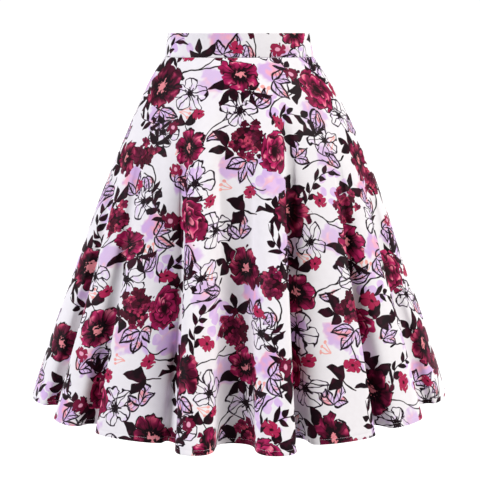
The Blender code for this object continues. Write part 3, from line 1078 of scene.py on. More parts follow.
def sprig(colour: str) -> Steps:
    """Draw a coral twig: three thin rays with a dot at each end.

    Args:
        colour: The colour of the twig, which pales in places.

    Returns:
        The drawing's steps.
    """
    return (
        *fan(0.42, 1.0),
        ("off", "ABSOLUTE", "leaf_y"),
        ("ray_start", "SOFT", "leaf_x", 0.0, 0.05),
        ("ray_end", "SOFT", "leaf_x", 0.86, 0.82),
        ("ray", "MULTIPLY", ("MULTIPLY", ("SOFT", "off", 0.050, 0.020), "ray_start"), "ray_end"),
        ("dot_x", "SUBTRACT", "leaf_x", 0.88),
        ("round", "MULTIPLY_ADD", "leaf_y", "leaf_y", ("MULTIPLY", "dot_x", "dot_x")),
        ("alpha", "MULTIPLY", ("MAXIMUM", "ray", ("SOFT", "round", 0.020, 0.012)), 0.8),
        ("colour", "MIX", "fine", colour, "#F2A79B"),
    )


def wash(cool: str, warm: str) -> Steps:
    """Draw a pool of thin colour that runs out at its edge.

    Args:
        cool: The colour of most of it.
        warm: The colour that it turns to.

    Returns:
        The drawing's steps.
    """
    return (
        *RADIUS,
        ("pool", "SOFT", ("MULTIPLY_ADD", "mid", 0.9, "radius"), 1.30, 0.95),
        ("alpha", "MULTIPLY", "pool", ("MULTIPLY_ADD", "chance", 0.30, 0.68)),
        ("mood", "MULTIPLY_ADD", "chance", 0.20, ("MULTIPLY_ADD", "x", 0.22, "mid")),
        ("colour", "MIX", ("SOFT", "mood", 0.48, 0.92), cool, warm),
    )


def drops(cool: str, warm: str) -> Steps:
    """Draw a loose bunch of round lilac brush marks.

    Args:
        cool: The colour of some of the marks.
        warm: The colour of the others.

    Returns:
        The drawing's steps.
    """
    return (
        *RADIUS,
        ("near", "SOFT", "radius", 1.0, 0.85),
        ("alpha", "MULTIPLY", ("MULTIPLY", ("SOFT", "drop", 0.44, 0.38), "near"), 0.9),
        ("colour", "MIX", ("SOFT", "mid", 0.45, 0.65), cool, warm),
    )


PLUM = Dye("#901D49", "#480C25", "#601031", "#BC4664")
RASPBERRY = Dye("#BE2662", "#7A153D", "#961A4D", "#E27C92")
WINE = Dye("#8E1F48", "#450C24", "#5A1030", "#B23C58")

# The drawings, in the order in which they are printed over one another, and the places of each.
DRAWINGS: tuple[tuple[str, Steps, tuple[tuple[float, ...], ...]], ...] = (
    ("wash", wash("#C6A0D4", "#EBA0B2"), (
        (10.5, 3.0, 3.8, 0), (21.4, 21.8, 3.8, 70), (31.0, 22.8, 3.8, 140), (28.2, 4.4, 3.6, 200),
        (11.5, 26.0, 3.4, 260), (15.6, 13.0, 3.4, 310), (3.8, 20.2, 3.4, 30), (21.6, 30.6, 3.4, 110),
        (1.4, 8.0, 3.2, 220),
    )),
    ("drops", drops("#CBAADB", "#D9B8DE"), (
        (8.6, 18.6, 3.6, 0), (23.4, 31.6, 3.6, 90), (33.0, 7.2, 3.4, 180), (26.6, 17.0, 3.4, 40),
    )),
    ("vine", vine(0.24, 0.042), (
        (12.2, 13.4, 4.8, 60), (25.6, 19.6, 4.8, 115), (4.2, 19.4, 4.8, 80), (17.4, 27.2, 4.8, 150),
        (21.4, 8.6, 4.4, 100), (32.0, 29.4, 4.4, 250), (32.6, 5.0, 4.4, 20),
    )),
    ("sprig", sprig("#DE6B60"), (
        (13.8, 6.0, 2.6, 20), (24.4, 17.2, 2.6, 150), (1.6, 24.2, 2.6, 290), (17.6, 33.2, 2.4, 80),
        (30.6, 1.6, 2.4, 200),
    )),
    ("drawn_leaves", drawn_leaves(Leaves(0.95, 1, 0.68), 0.043), (
        (10.4, 4.7, 4.6, -50), (22.6, 20.4, 4.3, 50), (3.0, 31.0, 4.3, 130), (29.2, 6.9, 4.5, -65),
        (13.6, 23.8, 4.0, 100), (20.4, 29.0, 4.2, 60), (1.0, 14.4, 4.3, 95),
    )),
    ("drawn_pair", drawn_leaves(Leaves(0.85, 0.5, 0.58), 0.041), (
        (30.4, 24.0, 4.6, -45), (21.8, 5.0, 4.5, 60), (15.0, 27.8, 4.2, -60), (6.6, 21.8, 4.2, 200),
        (24.2, 14.6, 4.0, 110),
    )),
    ("drawn_flower", drawn_flower(0.042), (
        (13.8, 9.2, 3.7, 0), (32.8, 28.6, 3.6, 30), (22.4, 12.2, 3.5, 10), (1.4, 21.6, 3.5, 50),
        (17.4, 24.2, 3.5, 20), (13.4, 1.4, 3.5, 40), (24.6, 32.6, 3.5, 70),
    )),
    ("dark_leaves", dark_leaves(Leaves(1.12, 1, 0.66)), (
        (4.8, 10.6, 4.4, 135), (18.8, 13.7, 4.2, -80), (10.8, 21.4, 4.0, 140), (25.1, 6.4, 4.4, 240),
        (31.2, 15.2, 4.2, 75), (16.6, 4.6, 4.2, 150), (0.8, 0.8, 4.2, 200), (4.6, 26.5, 4.1, 215),
        (26.2, 23.8, 4.3, 245),
    )),
    ("dark_spray", dark_leaves(Leaves(0.74, 2, 0.50)), (
        (5.1, 5.2, 4.2, 230), (24.6, 29.4, 4.6, 130), (21.6, 16.2, 4.2, 5), (13.4, 33.0, 4.2, 70),
        (33.6, 20.0, 4.0, 150),
    )),
    ("dark_branch", dark_branch(0.44, 0.62, 0.56), (
        (20.4, 24.4, 4.8, 160), (28.8, 19.0, 4.6, 60), (5.8, 16.0, 4.8, 100), (9.6, 1.4, 4.4, 190),
    )),
    ("double_flower", double_flower(RASPBERRY), (
        (27.6, 26.8, 4.1, 0), (31.4, 11.6, 3.7, 120),
    )),
    ("cluster", cluster(WINE), (
        (12.7, 18.8, 3.5, 0), (26.6, 9.6, 3.6, 60), (12.2, 30.6, 3.0, 200),
    )),
    ("poppy", anemone(RASPBERRY), (
        (18.2, 16.8, 4.0, 20), (19.8, 2.0, 3.7, 80),
    )),
    ("anemone", anemone(PLUM), (
        (7.4, 8.0, 4.8, 0), (7.4, 28.4, 4.2, 160),
    )),
    ("blossom", blossom("#A5244C", "#6A1232", "#DE9AB4"), (
        (8.8, 14.4, 1.8, 0), (23.4, 24.0, 1.6, 130), (14.2, 26.0, 1.5, 20), (14.6, 3.0, 1.5, 90),
        (28.4, 15.8, 1.8, 200), (33.6, 3.8, 1.7, 250), (28.8, 31.8, 1.5, 300), (17.4, 7.6, 1.4, 80),
        (19.4, 31.2, 1.6, 10),
    )),
)


@dataclass(frozen=True)
class FlowerPrint:
    """A tossed design of flowers and leaves, drawn in ink and filled with wine-red dyes.

    The drawings repeat on a square turned by 45 degrees, which is a half-drop repeat. The hand
    that draws them wavers by the wobble and the drift. Noises of three sizes break up their edges
    and dyes, and round cells make the florets and drops. Some places are flattened by the squeeze.
    """

    side: float = 0.34
    wobble: float = 0.0036
    wobble_size: float = 0.013
    drift: float = 0.013
    drift_size: float = 0.055
    fine_size: float = 0.005
    mid_size: float = 0.016
    big_size: float = 0.045
    floret_size: float = 0.0135
    drop_size: float = 0.020
    squeeze: float = 0.35
    tag_step: float = 7.0         # a place's tag is its radius in steps and its turn
    tag_reach: float = 2000.0
    tag_mix: float = 0.37         # mixes a chance for each place out of its tag

    def work_out(
        self, tree: NodeTree, known: dict[str, Value], operation: str, *items: str | float | tuple
    ) -> NodeSocket:
        """Lay the nodes of one step, and of the unnamed steps in it.

        Args:
            tree: The node tree of the print.
            known: Values that the step may use.
            operation: "SOFT" for a soft rise, "MIX" for a mix of two colours, or a sum.
            *items: The step's operands.

        Returns:
            The step's value.
        """
        values = []
        for item in items:
            if isinstance(item, tuple):
                item = self.work_out(tree, known, *item)
            elif isinstance(item, str):
                item = linear(item) if item.startswith("#") else known[item]
            values.append(item)
        plain_sum = ("ShaderNodeMath", {"operation": operation}, (0, 1, 2), 0)
        kind, settings, slots, output = OPERATIONS.get(operation, plain_sum)
        return add_node(tree, kind, dict(zip(slots, values)), **settings).outputs[output]

    def lay(self, tree: NodeTree, steps: Steps, known: dict[str, Value]) -> dict[str, Value]:
        """Lay the nodes of a drawing.

        Args:
            tree: The node tree of the print.
            steps: The drawing's steps.
            known: Values that the steps may use.

        Returns:
            All the values, known and new.
        """
        known = dict(known)
        for name, *step in steps:
            known[name] = self.work_out(tree, known, *step)
        return known

    def nearest(
        self, tree: NodeTree, cloth: NodeSocket, to_floret: NodeSocket, places: list[Place]
    ) -> dict[str, Value]:
        """Find the drawing's nearest place from any point of the cloth.

        Args:
            tree: The node tree of the print.
            cloth: The point on the cloth.
            to_floret: The way from there to the middle of the nearest floret.
            places: The drawing's places in the repeat.

        Returns:
            The point's x and y in that place, where the drawing's radius is 1, the radius at
            which the nearest floret's middle lies, and a chance from 0 to 1 for each place.
        """
        half, high = self.side / 2, self.tag_reach
        best = reach = None
        for place in places:
            tag = round(place.size * 10) * self.tag_step + radians(place.turn % 360)
            centre = (place.across / 100, place.up / 100, -tag)
            off = add_node(tree, "ShaderNodeVectorMath", {0: cloth, 1: centre}, operation="SUBTRACT")
            tile = {0: off.outputs[0], 1: (half, half, high), 2: (-half, -half, -high)}
            near = add_node(tree, "ShaderNodeVectorMath", tile, operation="WRAP").outputs[0]
            from_middle = {0: near, 1: (0, 0, tag)}
            far = add_node(tree, "ShaderNodeVectorMath", from_middle, operation="DISTANCE").outputs[1]
            if best is None:
                best, reach = near, far
                continue
            closer = add_node(tree, "ShaderNodeMath", {0: far, 1: reach}, operation="LESS_THAN")
            mix = {0: closer.outputs[0], 4: best, 5: near}
            best = add_node(tree, "ShaderNodeMix", mix, data_type="VECTOR").outputs[1]
            reach = add_node(tree, "ShaderNodeMath", {0: reach, 1: far}, operation="MINIMUM").outputs[0]
        tag = add_node(tree, "ShaderNodeSeparateXYZ", {0: best}).outputs[2]
        flat = {0: best, 1: (1, 1, 0), 2: to_floret}
        middle = add_node(tree, "ShaderNodeVectorMath", flat, operation="MULTIPLY_ADD").outputs[0]
        away = add_node(tree, "ShaderNodeVectorMath", {0: middle}, operation="LENGTH").outputs[1]
        found = self.lay(
            tree,
            (
                ("millimetres", "FLOOR", ("DIVIDE", "tag", self.tag_step)),
                ("turned", "SUBTRACT", ("MULTIPLY", "millimetres", self.tag_step), "tag"),
                ("scale", "DIVIDE", 1000.0, "millimetres"),
                ("chance", "FRACT", ("MULTIPLY", "tag", self.tag_mix)),
                ("chance_turn", "MULTIPLY", "chance", tau),
                ("floret_radius", "MULTIPLY", "away", "scale"),
                ("squeeze", "MULTIPLY_ADD", "chance", self.squeeze, 1.0),
            ),
            {"tag": tag, "away": away},
        )
        turn = {0: best, "Angle": found["turned"]}
        turned = add_node(tree, "ShaderNodeVectorRotate", turn, rotation_type="Z_AXIS").outputs[0]
        sized = {0: turned, "Scale": found["scale"]}
        local = add_node(tree, "ShaderNodeVectorMath", sized, operation="SCALE").outputs[0]
        axes = add_node(tree, "ShaderNodeSeparateXYZ", {0: local}).outputs
        found.update(x=axes[0], plain_y=axes[1])
        found["y"] = self.work_out(tree, found, "MULTIPLY", "plain_y", "squeeze")
        return found

    def grain(self, tree: NodeTree, cloth: NodeSocket) -> dict[str, Value]:
        """Lay the soft noises and round cells that all the drawings share.

        Args:
            tree: The node tree of the print.
            cloth: The point on the cloth.

        Returns:
            Their values, by name.
        """
        known = {}
        for name, size, detail in (
            ("fine", self.fine_size, 1.0), ("mid", self.mid_size, 1.0), ("big", self.big_size, 0.0)
        ):
            inputs = {"Vector": cloth, "Scale": 1 / size, "Detail": detail, "Roughness": 0.5}
            node = add_node(tree, "ShaderNodeTexNoise", inputs, noise_dimensions="2D")
            known[name] = node.outputs[0]
        for names, size in ((("floret", "tone", "at"), self.floret_size), (("drop",), self.drop_size)):
            inputs = {"Vector": cloth, "Scale": 1 / size, "Randomness": 0.75}
            node = add_node(tree, "ShaderNodeTexVoronoi", inputs, voronoi_dimensions="2D")
            known.update(zip(names, node.outputs))
        way = add_node(tree, "ShaderNodeVectorMath", {0: known["at"], 1: cloth}, operation="SUBTRACT")
        axes = add_node(tree, "ShaderNodeSeparateXYZ", {0: way.outputs[0]}).outputs
        known.update(to_floret=way.outputs[0], floret_x=axes[0], floret_y=axes[1])
        known["floret_turn"] = self.work_out(tree, known, "ARCTAN2", "floret_y", "floret_x")
        return known

    def group(self) -> NodeTree:
        """Build the print as a node group.

        Returns:
            The group, which takes a place on the cloth and the ground's colour, and gives the
            printed colour.
        """
        tree = bpy.data.node_groups.new("printed_flowers", "ShaderNodeTree")
        tree.interface.new_socket("cloth", in_out="INPUT", socket_type="NodeSocketVector")
        tree.interface.new_socket("ground", in_out="INPUT", socket_type="NodeSocketColor")
        tree.interface.new_socket("colour", in_out="OUTPUT", socket_type="NodeSocketColor")
        cloth, ground, _ = add_node(tree, "NodeGroupInput", {}).outputs
        drawn = cloth
        for size, reach in ((self.wobble_size, self.wobble), (self.drift_size, self.drift)):
            inputs = {"Vector": cloth, "Scale": 1 / size, "Detail": 0.0}
            hand = add_node(tree, "ShaderNodeTexNoise", inputs, noise_dimensions="2D").outputs[1]
            sway = {0: hand, 1: (reach, reach, 0.0), 2: drawn}
            drawn = add_node(tree, "ShaderNodeVectorMath", sway, operation="MULTIPLY_ADD").outputs[0]
        turn = {0: drawn, "Angle": pi / 4}
        turned = add_node(tree, "ShaderNodeVectorRotate", turn, rotation_type="Z_AXIS").outputs[0]
        known = self.grain(tree, turned)
        colour = ground
        for name, steps, places in DRAWINGS:
            here = self.nearest(tree, turned, known["to_floret"], [Place(*row) for row in places])
            drawing = self.lay(tree, steps, {**known, **here})
            inputs = {0: drawing["alpha"], 6: colour, 7: drawing["colour"]}
            colour = add_node(tree, "ShaderNodeMix", inputs, data_type="RGBA", label=name).outputs[2]
        add_node(tree, "NodeGroupOutput", {0: colour})
        return tree


# ---------------------------------------------------------------- the finishes

# Blender's wave texture runs through this many radians for each unit of its place and scale.
WAVE_RATE = 20


def wave_scale(pitch: float) -> float:
    """The scale of a wave texture whose bands have a pitch in metres."""
    return 1 / pitch / WAVE_RATE * tau


class Finish:
    """A finish. Each kind has a name and gives the inputs of its shader."""

    name: str

    def inputs(self, tree: NodeTree) -> dict[int | str, Value]:
        """Lay the nodes of the finish.

        Args:
            tree: The finish's node tree.

        Returns:
            The shader's inputs.
        """
        raise NotImplementedError

    def build(self) -> Material:
        """Build the finish.

        Returns:
            The material.
        """
        finish = bpy.data.materials.new(self.name)
        finish.use_nodes = True
        tree = finish.node_tree
        tree.nodes.clear()
        shader = add_node(tree, "ShaderNodeBsdfPrincipled", self.inputs(tree))
        add_node(tree, "ShaderNodeOutputMaterial", {"Surface": shader.outputs[0]})
        return finish


@dataclass(frozen=True)
class CottonSateen(Finish):
    """Cotton sateen, woven with floats on its face and then printed.

    Its smooth face gives soft broad highlights on the crests, and the dye sinks in, so that the
    flowers are as matt as the ground.
    """

    flowers: NodeTree
    name: str = "cotton_sateen_printed"
    ground: str = "#E5E2E5"
    shaded: str = "#DEDADD"
    roughness: float = 0.50
    uneven: float = 0.05
    sheen: float = 0.012
    sheen_roughness: float = 0.35
    specular: float = 0.06
    rib: float = 0.0016           # the real floats are 0.3 mm apart, too fine to show
    rib_depth: float = 0.00002
    slub_size: float = 0.012

    def inputs(self, tree: NodeTree) -> dict[int | str, Value]:
        """Lay the nodes of the finish.

        Args:
            tree: The finish's node tree.

        Returns:
            The shader's inputs.
        """
        cloth = add_node(tree, "ShaderNodeUVMap", {}, uv_map="Cloth").outputs[0]
        slub = {"Vector": cloth, "Scale": 1 / self.slub_size, "Detail": 2.0}
        slubs = add_node(tree, "ShaderNodeTexNoise", slub, noise_dimensions="2D").outputs[0]
        grounds = {0: slubs, 6: linear(self.ground), 7: linear(self.shaded)}
        ground = add_node(tree, "ShaderNodeMix", grounds, data_type="RGBA").outputs[2]
        printed = add_node(tree, "ShaderNodeGroup", {0: cloth, 1: ground}, node_tree=self.flowers)
        rough = {0: slubs, 3: self.roughness - self.uneven, 4: self.roughness + self.uneven}
        floats = {"Vector": cloth, "Scale": wave_scale(self.rib), "Distortion": 0.6, "Detail": 1.0}
        ribs = add_node(
            tree, "ShaderNodeTexWave", floats, wave_type="BANDS", bands_direction="DIAGONAL"
        ).outputs[1]
        bump = {"Strength": 1.0, "Distance": self.rib_depth, "Height": ribs}
        return {
            "Base Color": printed.outputs[0],
            "Roughness": add_node(tree, "ShaderNodeMapRange", rough).outputs[0],
            "Normal": add_node(tree, "ShaderNodeBump", bump).outputs[0],
            "Specular IOR Level": self.specular,
            "Sheen Weight": self.sheen,
            "Sheen Roughness": self.sheen_roughness,
        }


@dataclass(frozen=True)
class CottonReverse(Finish):
    """The unprinted side of the sateen, where the dyes show through faintly and without gloss."""

    flowers: NodeTree
    name: str = "cotton_sateen_reverse"
    ground: str = "#E0DFE5"
    show_through: float = 0.34
    roughness: float = 0.72
    specular: float = 0.25
    rib: float = 0.0016           # as on the face, too fine to show at its real size
    rib_depth: float = 0.00003

    def inputs(self, tree: NodeTree) -> dict[int | str, Value]:
        """Lay the nodes of the finish.

        Args:
            tree: The finish's node tree.

        Returns:
            The shader's inputs.
        """
        cloth = add_node(tree, "ShaderNodeUVMap", {}, uv_map="Cloth").outputs[0]
        ground = linear(self.ground)
        printed = add_node(tree, "ShaderNodeGroup", {0: cloth, 1: ground}, node_tree=self.flowers)
        faint = {0: self.show_through, 6: ground, 7: printed.outputs[0]}
        floats = {"Vector": cloth, "Scale": wave_scale(self.rib), "Distortion": 0.6}
        ribs = add_node(
            tree, "ShaderNodeTexWave", floats, wave_type="BANDS", bands_direction="DIAGONAL"
        ).outputs[1]
        bump = {"Strength": 1.0, "Distance": self.rib_depth, "Height": ribs}
        return {
            "Base Color": add_node(tree, "ShaderNodeMix", faint, data_type="RGBA").outputs[2],
            "Normal": add_node(tree, "ShaderNodeBump", bump).outputs[0],
            "Roughness": self.roughness,
            "Specular IOR Level": self.specular,
        }


@dataclass(frozen=True)
class TapeWeave(Finish):
    """White polyester tape, woven in fine ribs along its length, with a dry matt face."""

    name: str = "polyester_tape_woven"
    colour: str = "#F1F1F2"
    # painted shade: the darker white laid in the hollows between the ribs
    rib_hollow_painted_shade: str = "#D9D9DC"
    rib: float = 0.0012
    rib_depth: float = 0.0001
    rib_strength: float = 0.8
    roughness: float = 0.78

    def inputs(self, tree: NodeTree) -> dict[int | str, Value]:
        """Lay the nodes of the finish.

        Args:
            tree: The finish's node tree.

        Returns:
            The shader's inputs.
        """
        place = add_node(tree, "ShaderNodeTexCoord", {}).outputs["Object"]
        waves = {"Vector": place, "Scale": wave_scale(self.rib), "Distortion": 0.4, "Detail": 1.0}
        ribs = add_node(
            tree, "ShaderNodeTexWave", waves, wave_type="BANDS", bands_direction="X"
        ).outputs[1]
        # the ribs' hollows take the painted shade colour, the crests the tape's own white
        shades = {0: ribs, 6: linear(self.rib_hollow_painted_shade), 7: linear(self.colour)}
        bump = {"Strength": self.rib_strength, "Distance": self.rib_depth, "Height": ribs}
        return {
            "Base Color": add_node(tree, "ShaderNodeMix", shades, data_type="RGBA").outputs[2],
            "Normal": add_node(tree, "ShaderNodeBump", bump).outputs[0],
            "Roughness": self.roughness,
        }


@dataclass(frozen=True)
class Filament(Finish):
    """Polyester, drawn to a filament or spun to a thread, which has a small soft gloss."""

    name: str
    colour: str
    worn: str
    roughness: float
    twist: float
    uneven: float = 0.06

    def inputs(self, tree: NodeTree) -> dict[int | str, Value]:
        """Lay the nodes of the finish.

        Args:
            tree: The finish's node tree.

        Returns:
            The shader's inputs.
        """
        place = add_node(tree, "ShaderNodeTexCoord", {}).outputs["Object"]
        noise = {"Vector": place, "Scale": 1 / self.twist, "Detail": 2.0}
        turns = add_node(tree, "ShaderNodeTexNoise", noise).outputs[0]
        shades = {0: turns, 6: linear(self.colour), 7: linear(self.worn)}
        rough = {0: turns, 3: self.roughness - self.uneven, 4: self.roughness + self.uneven}
        return {
            "Base Color": add_node(tree, "ShaderNodeMix", shades, data_type="RGBA").outputs[2],
            "Roughness": add_node(tree, "ShaderNodeMapRange", rough).outputs[0],
        }


@dataclass(frozen=True)
class LacqueredZinc(Finish):
    """Die-cast zinc under baked white lacquer, glossy and a little orange-peeled.

    Its edges are rubbed down to a greyer white.
    """

    name: str = "zinc_lacquered_white"
    colour: str = "#EDEDEE"
    rubbed: str = "#C9CACD"
    rub_start: float = 0.56       # how sharp an edge is where the rubbing starts
    rub_end: float = 0.66         # and where it is complete
    smoothest: float = 0.23       # the lacquer's roughness, from here
    roughest: float = 0.36        # to here
    peel: float = 0.0009
    peel_depth: float = 0.00005
    peel_strength: float = 0.3
    coat: float = 0.5
    coat_roughness: float = 0.12

    def inputs(self, tree: NodeTree) -> dict[int | str, Value]:
        """Lay the nodes of the finish.

        Args:
            tree: The finish's node tree.

        Returns:
            The shader's inputs.
        """
        place = add_node(tree, "ShaderNodeTexCoord", {}).outputs["Object"]
        noise = {"Vector": place, "Scale": 1 / self.peel, "Detail": 2.0}
        peel = add_node(tree, "ShaderNodeTexNoise", noise).outputs[0]
        edges = add_node(tree, "ShaderNodeNewGeometry", {}).outputs["Pointiness"]
        worn = {0: edges, 1: self.rub_start, 2: self.rub_end}
        rubbed = add_node(tree, "ShaderNodeMapRange", worn).outputs[0]
        shades = {0: rubbed, 6: linear(self.colour), 7: linear(self.rubbed)}
        rough = {0: peel, 3: self.smoothest, 4: self.roughest}
        bump = {"Strength": self.peel_strength, "Distance": self.peel_depth, "Height": peel}
        return {
            "Base Color": add_node(tree, "ShaderNodeMix", shades, data_type="RGBA").outputs[2],
            "Roughness": add_node(tree, "ShaderNodeMapRange", rough).outputs[0],
            "Normal": add_node(tree, "ShaderNodeBump", bump).outputs[0],
            "Coat Weight": self.coat,
            "Coat Roughness": self.coat_roughness,
        }


@dataclass(frozen=True)
class MattPaper(Finish):
    """Matt white background paper, a little uneven, which the floor is laid with."""

    name: str = "matt_white_floor"
    colour: str = "#FFFFFF"
    shaded: str = "#FDFDFE"
    grain: float = 1 / 3

    def inputs(self, tree: NodeTree) -> dict[int | str, Value]:
        """Lay the nodes of the finish.

        Args:
            tree: The finish's node tree.

        Returns:
            The shader's inputs.
        """
        place = add_node(tree, "ShaderNodeTexCoord", {}).outputs["Object"]
        clouds = {"Vector": place, "Scale": 1 / self.grain}
        noise = add_node(tree, "ShaderNodeTexNoise", clouds).outputs[0]
        shades = {0: noise, 6: linear(self.colour), 7: linear(self.shaded)}
        return {
            "Base Color": add_node(tree, "ShaderNodeMix", shades, data_type="RGBA").outputs[2],
            "Roughness": 1.0,
            "Specular IOR Level": 0.0,
        }


@dataclass(frozen=True)
class Finishes:
    """All the finishes of the skirt."""

    cloth: Material
    reverse: Material
    tape: Material
    coil: Material
    thread: Material
    metal: Material

    @classmethod
    def build(cls) -> "Finishes":
        """Build every finish once.

        Returns:
            The finishes.
        """
        flowers = FlowerPrint().group()
        return cls(
            cloth=CottonSateen(flowers).build(),
            reverse=CottonReverse(flowers).build(),
            tape=TapeWeave().build(),
            coil=Filament("polyester_coil", "#EFEFF1", "#E2E2E6", 0.38, 0.002).build(),
            thread=Filament("sewing_thread_spun_polyester", "#F3F0F5", "#D9D2DC", 0.6, 0.0008).build(),
            metal=LacqueredZinc().build(),
        )


# ---------------------------------------------------------------- the skirt's panels


@dataclass(frozen=True)
class Hem:
    """The narrow hem: the cloth is turned twice and stitched down."""

    turn: float = 0.0090          # its width
    stitch_line: float = 0.0080   # above the edge
    stitch_row: int = 4
    rows: tuple[float, ...] = (   # the panel's last rows above the edge
        0.0150, 0.0115, 0.0094, 0.0090, 0.0080, 0.0068, 0.0045, 0.0022, 0.0007, 0.0
    )
    dimple: float = 0.00028       # how deep the stitches sink in
    dimple_width: float = 0.0011
    pucker: float = 0.00022
    pucker_pitch: float = 0.0105
    cross_pitch: float = 0.0173   # of the second row of puckers, which is half as deep
    slant: float = 0.6            # how far the puckers lean
    pucker_grown: float = 0.003   # they grow up to here above the edge
    pucker_waning: float = 0.005  # and fade from here
    fold: float = 0.0004          # how far the fold at the edge is rounded off


@dataclass(frozen=True)
class SkirtPanel:
    """One panel of the skirt, from the waistband's seam to the hem.

    It runs from one seam to the next, given in samples of the form.
    """

    name: str
    form: SkirtForm
    first: int
    last: int
    hem: Hem
    rows: int = 92
    step: int = 2
    cloth: float = 0.0005         # a single layer
    folded: float = 0.0013        # the hem's three layers
    seam_roll: float = 0.0009     # how far the upright seams draw the panel's edges in
    top_roll: float = 0.0005      # and how far the waistband's seam does
    seam_reach: float = 0.0012
    seam_rows: tuple[float, ...] = (0.0, 0.0008, 0.0018, 0.0035)   # below the waistband
    seam_columns: tuple[float, ...] = (0.0, 0.3, 0.8)              # in samples from a seam

    @property
    def columns(self) -> np.ndarray:
        """The panel's columns.

        Returns:
            Their places in samples, closer together beside the panel's seams.
        """
        inner = np.arange(self.first + self.step, self.last, self.step, dtype=float)
        ends = np.array(self.seam_columns)
        return np.concatenate([self.first + ends, inner, self.last - ends[::-1]])

    @property
    def shares(self) -> np.ndarray:
        """The panel's rows.

        Returns:
            Their shares of the way from the waistband's seam to the hem.
        """
        length = np.hypot(self.form.drop, SECTIONS[-1].left_half - SECTIONS[0].left_half)
        hem = 1.0 - np.array(self.hem.rows) / length
        seam = np.array(self.seam_rows) / length
        middle = np.linspace(seam[-1], hem[0], self.rows)
        return np.concatenate([seam[:-1], middle[:-1], hem])

    def hem_relief(self, arcs: np.ndarray, up: np.ndarray) -> np.ndarray:
        """Work out how far the hem's stitching draws its face in.

        Args:
            arcs: Distances along each row.
            up: Distances of the rows above the hem's edge.

        Returns:
            Depths as an array of [row, column].
        """
        hem = self.hem
        off = (up - hem.stitch_line) / hem.dimple_width
        line = hem.dimple * np.exp(-off * off)
        within = smooth(up, 0.0, hem.pucker_grown) * smooth(-up, -hem.turn, -hem.pucker_waning)
        slanted = arcs + hem.slant * up
        waves = np.sin(tau * slanted / hem.pucker_pitch)
        waves += 0.5 * np.sin(tau * slanted / hem.cross_pitch)
        edge = hem.fold * smooth(-up, -hem.rows[-2], 0.0)
        return line + hem.pucker * within * waves + edge

    def shape(self) -> tuple[np.ndarray, np.ndarray, Sector]:
        """Work out the hanging panel.

        Returns:
            Its points, each point's place on the flat cloth, and the flat cut.
        """
        columns, shares = self.columns, self.shares
        plain, outward = self.form.face(columns, shares)
        steps = np.linalg.norm(np.diff(plain, axis=1), axis=-1)
        arcs = np.concatenate([np.zeros((len(shares), 1)), np.cumsum(steps, axis=1)], axis=1)
        drops = np.linalg.norm(np.diff(plain, axis=0), axis=-1).mean(axis=1)
        down = np.concatenate([[0.0], np.cumsum(drops)])
        length, waist, hem = down[-1], arcs[0, -1], arcs[-1, -1]
        spread = (hem - waist) / length
        sector = Sector(inner=waist * length / (hem - waist), length=length, spread=spread)
        radius = sector.inner + down[:, None]
        turn = (0.5 - arcs / arcs[:, -1:]) * sector.spread
        flat = np.stack([radius * np.sin(turn), -radius * np.cos(turn)], axis=-1)
        up = (length - down)[:, None]
        seam = np.minimum(arcs, arcs[:, -1:] - arcs) / self.seam_reach
        top = down[:, None] / self.seam_reach
        rolled = self.seam_roll * np.exp(-seam * seam)
        rolled = np.maximum(rolled, self.top_roll * np.exp(-top * top))
        creased = plain - outward * self.form.crease_depths(columns, shares)[..., None]
        relief = rolled + self.hem_relief(arcs, up)
        return creased - face_normals(creased) * relief[..., None], flat, sector

    def build(self, finishes: Finishes) -> Object:
        """Build the panel.

        Args:
            finishes: The skirt's finishes.

        Returns:
            The panel.
        """
        points, flat, sector = self.shape()
        piece = grid_piece(self.name + "_cloth", points, flat)
        thick = range(len(points) - len(self.hem.rows) + self.hem.stitch_row - 1, len(points))
        thin = self.cloth / self.folded
        make_wall(piece, finishes.cloth, finishes.reverse, self.folded, thin, thick)
        bpy.ops.object.shade_smooth_by_angle(angle=radians(50))
        hand_over(piece, Body.CLOTH, Slot.COTTON, self.name)
        return piece

    def hem_path(self) -> tuple[np.ndarray, np.ndarray]:
        """Find the hem's stitch line.

        Returns:
            Points along it, and the outward directions there.
        """
        points, _, _ = self.shape()
        row = len(points) - len(self.hem.rows) + self.hem.stitch_row
        return points[row], face_normals(points)[row]


@dataclass(frozen=True)
class Stitching:
    """A row of machine stitches along a path, as small raised threads."""

    name: str
    length: float = 0.0023
    gap: float = 0.0007
    thread: float = 0.00014       # its radius
    dive: float = 1.3             # how far the ends dive in, in radii
    lift: float = 0.2             # how far the middle stands up, in radii

    def unit(self) -> Object:
        """Make one stitch: a short thread that dives in at both ends.

        Returns:
            The stitch.
        """
        bpy.ops.mesh.primitive_cylinder_add(
            vertices=5, radius=self.thread, depth=self.length, rotation=(0, pi / 2, 0)
        )
        bpy.ops.object.transform_apply(rotation=True)
        bpy.ops.object.mode_set(mode="EDIT")
        for quarter in (self.length / 4, -self.length / 4):
            bpy.ops.mesh.select_all(action="SELECT")
            bpy.ops.mesh.bisect(plane_co=(quarter, 0, 0), plane_no=(1, 0, 0))
        bpy.ops.object.mode_set(mode="OBJECT")
        stitch = bpy.context.object
        for vertex in stitch.data.vertices:
            share = abs(vertex.co.x) * 2 / self.length
            vertex.co.z -= self.thread * self.dive * share**3
        return stitch

    def build(self, paths: list[tuple[np.ndarray, np.ndarray]], finish: Material) -> Object:
        """Sew the stitches.

        Args:
            paths: Points of each path, and the outward directions there.
            finish: The thread's finish.

        Returns:
            The stitches as one piece.
        """
        places = []
        for points, normals in paths:
            steps = np.linalg.norm(np.diff(points, axis=0), axis=-1)
            at = np.concatenate([[0.0], np.cumsum(steps)])
            middles = np.arange(self.length, at[-1] - self.length, self.length + self.gap)
            for middle in middles:
                here, before, after = (
                    Vector([np.interp(middle + d, at, points[:, k]) for k in range(3)])
                    for d in (0.0, -self.length / 2, self.length / 2)
                )
                out = Vector([np.interp(middle, at, normals[:, k]) for k in range(3)]).normalized()
                places.append(standing(here + out * self.thread * self.lift, after - before, out))
        return repeat_mesh(self.name, self.unit(), places, finish)


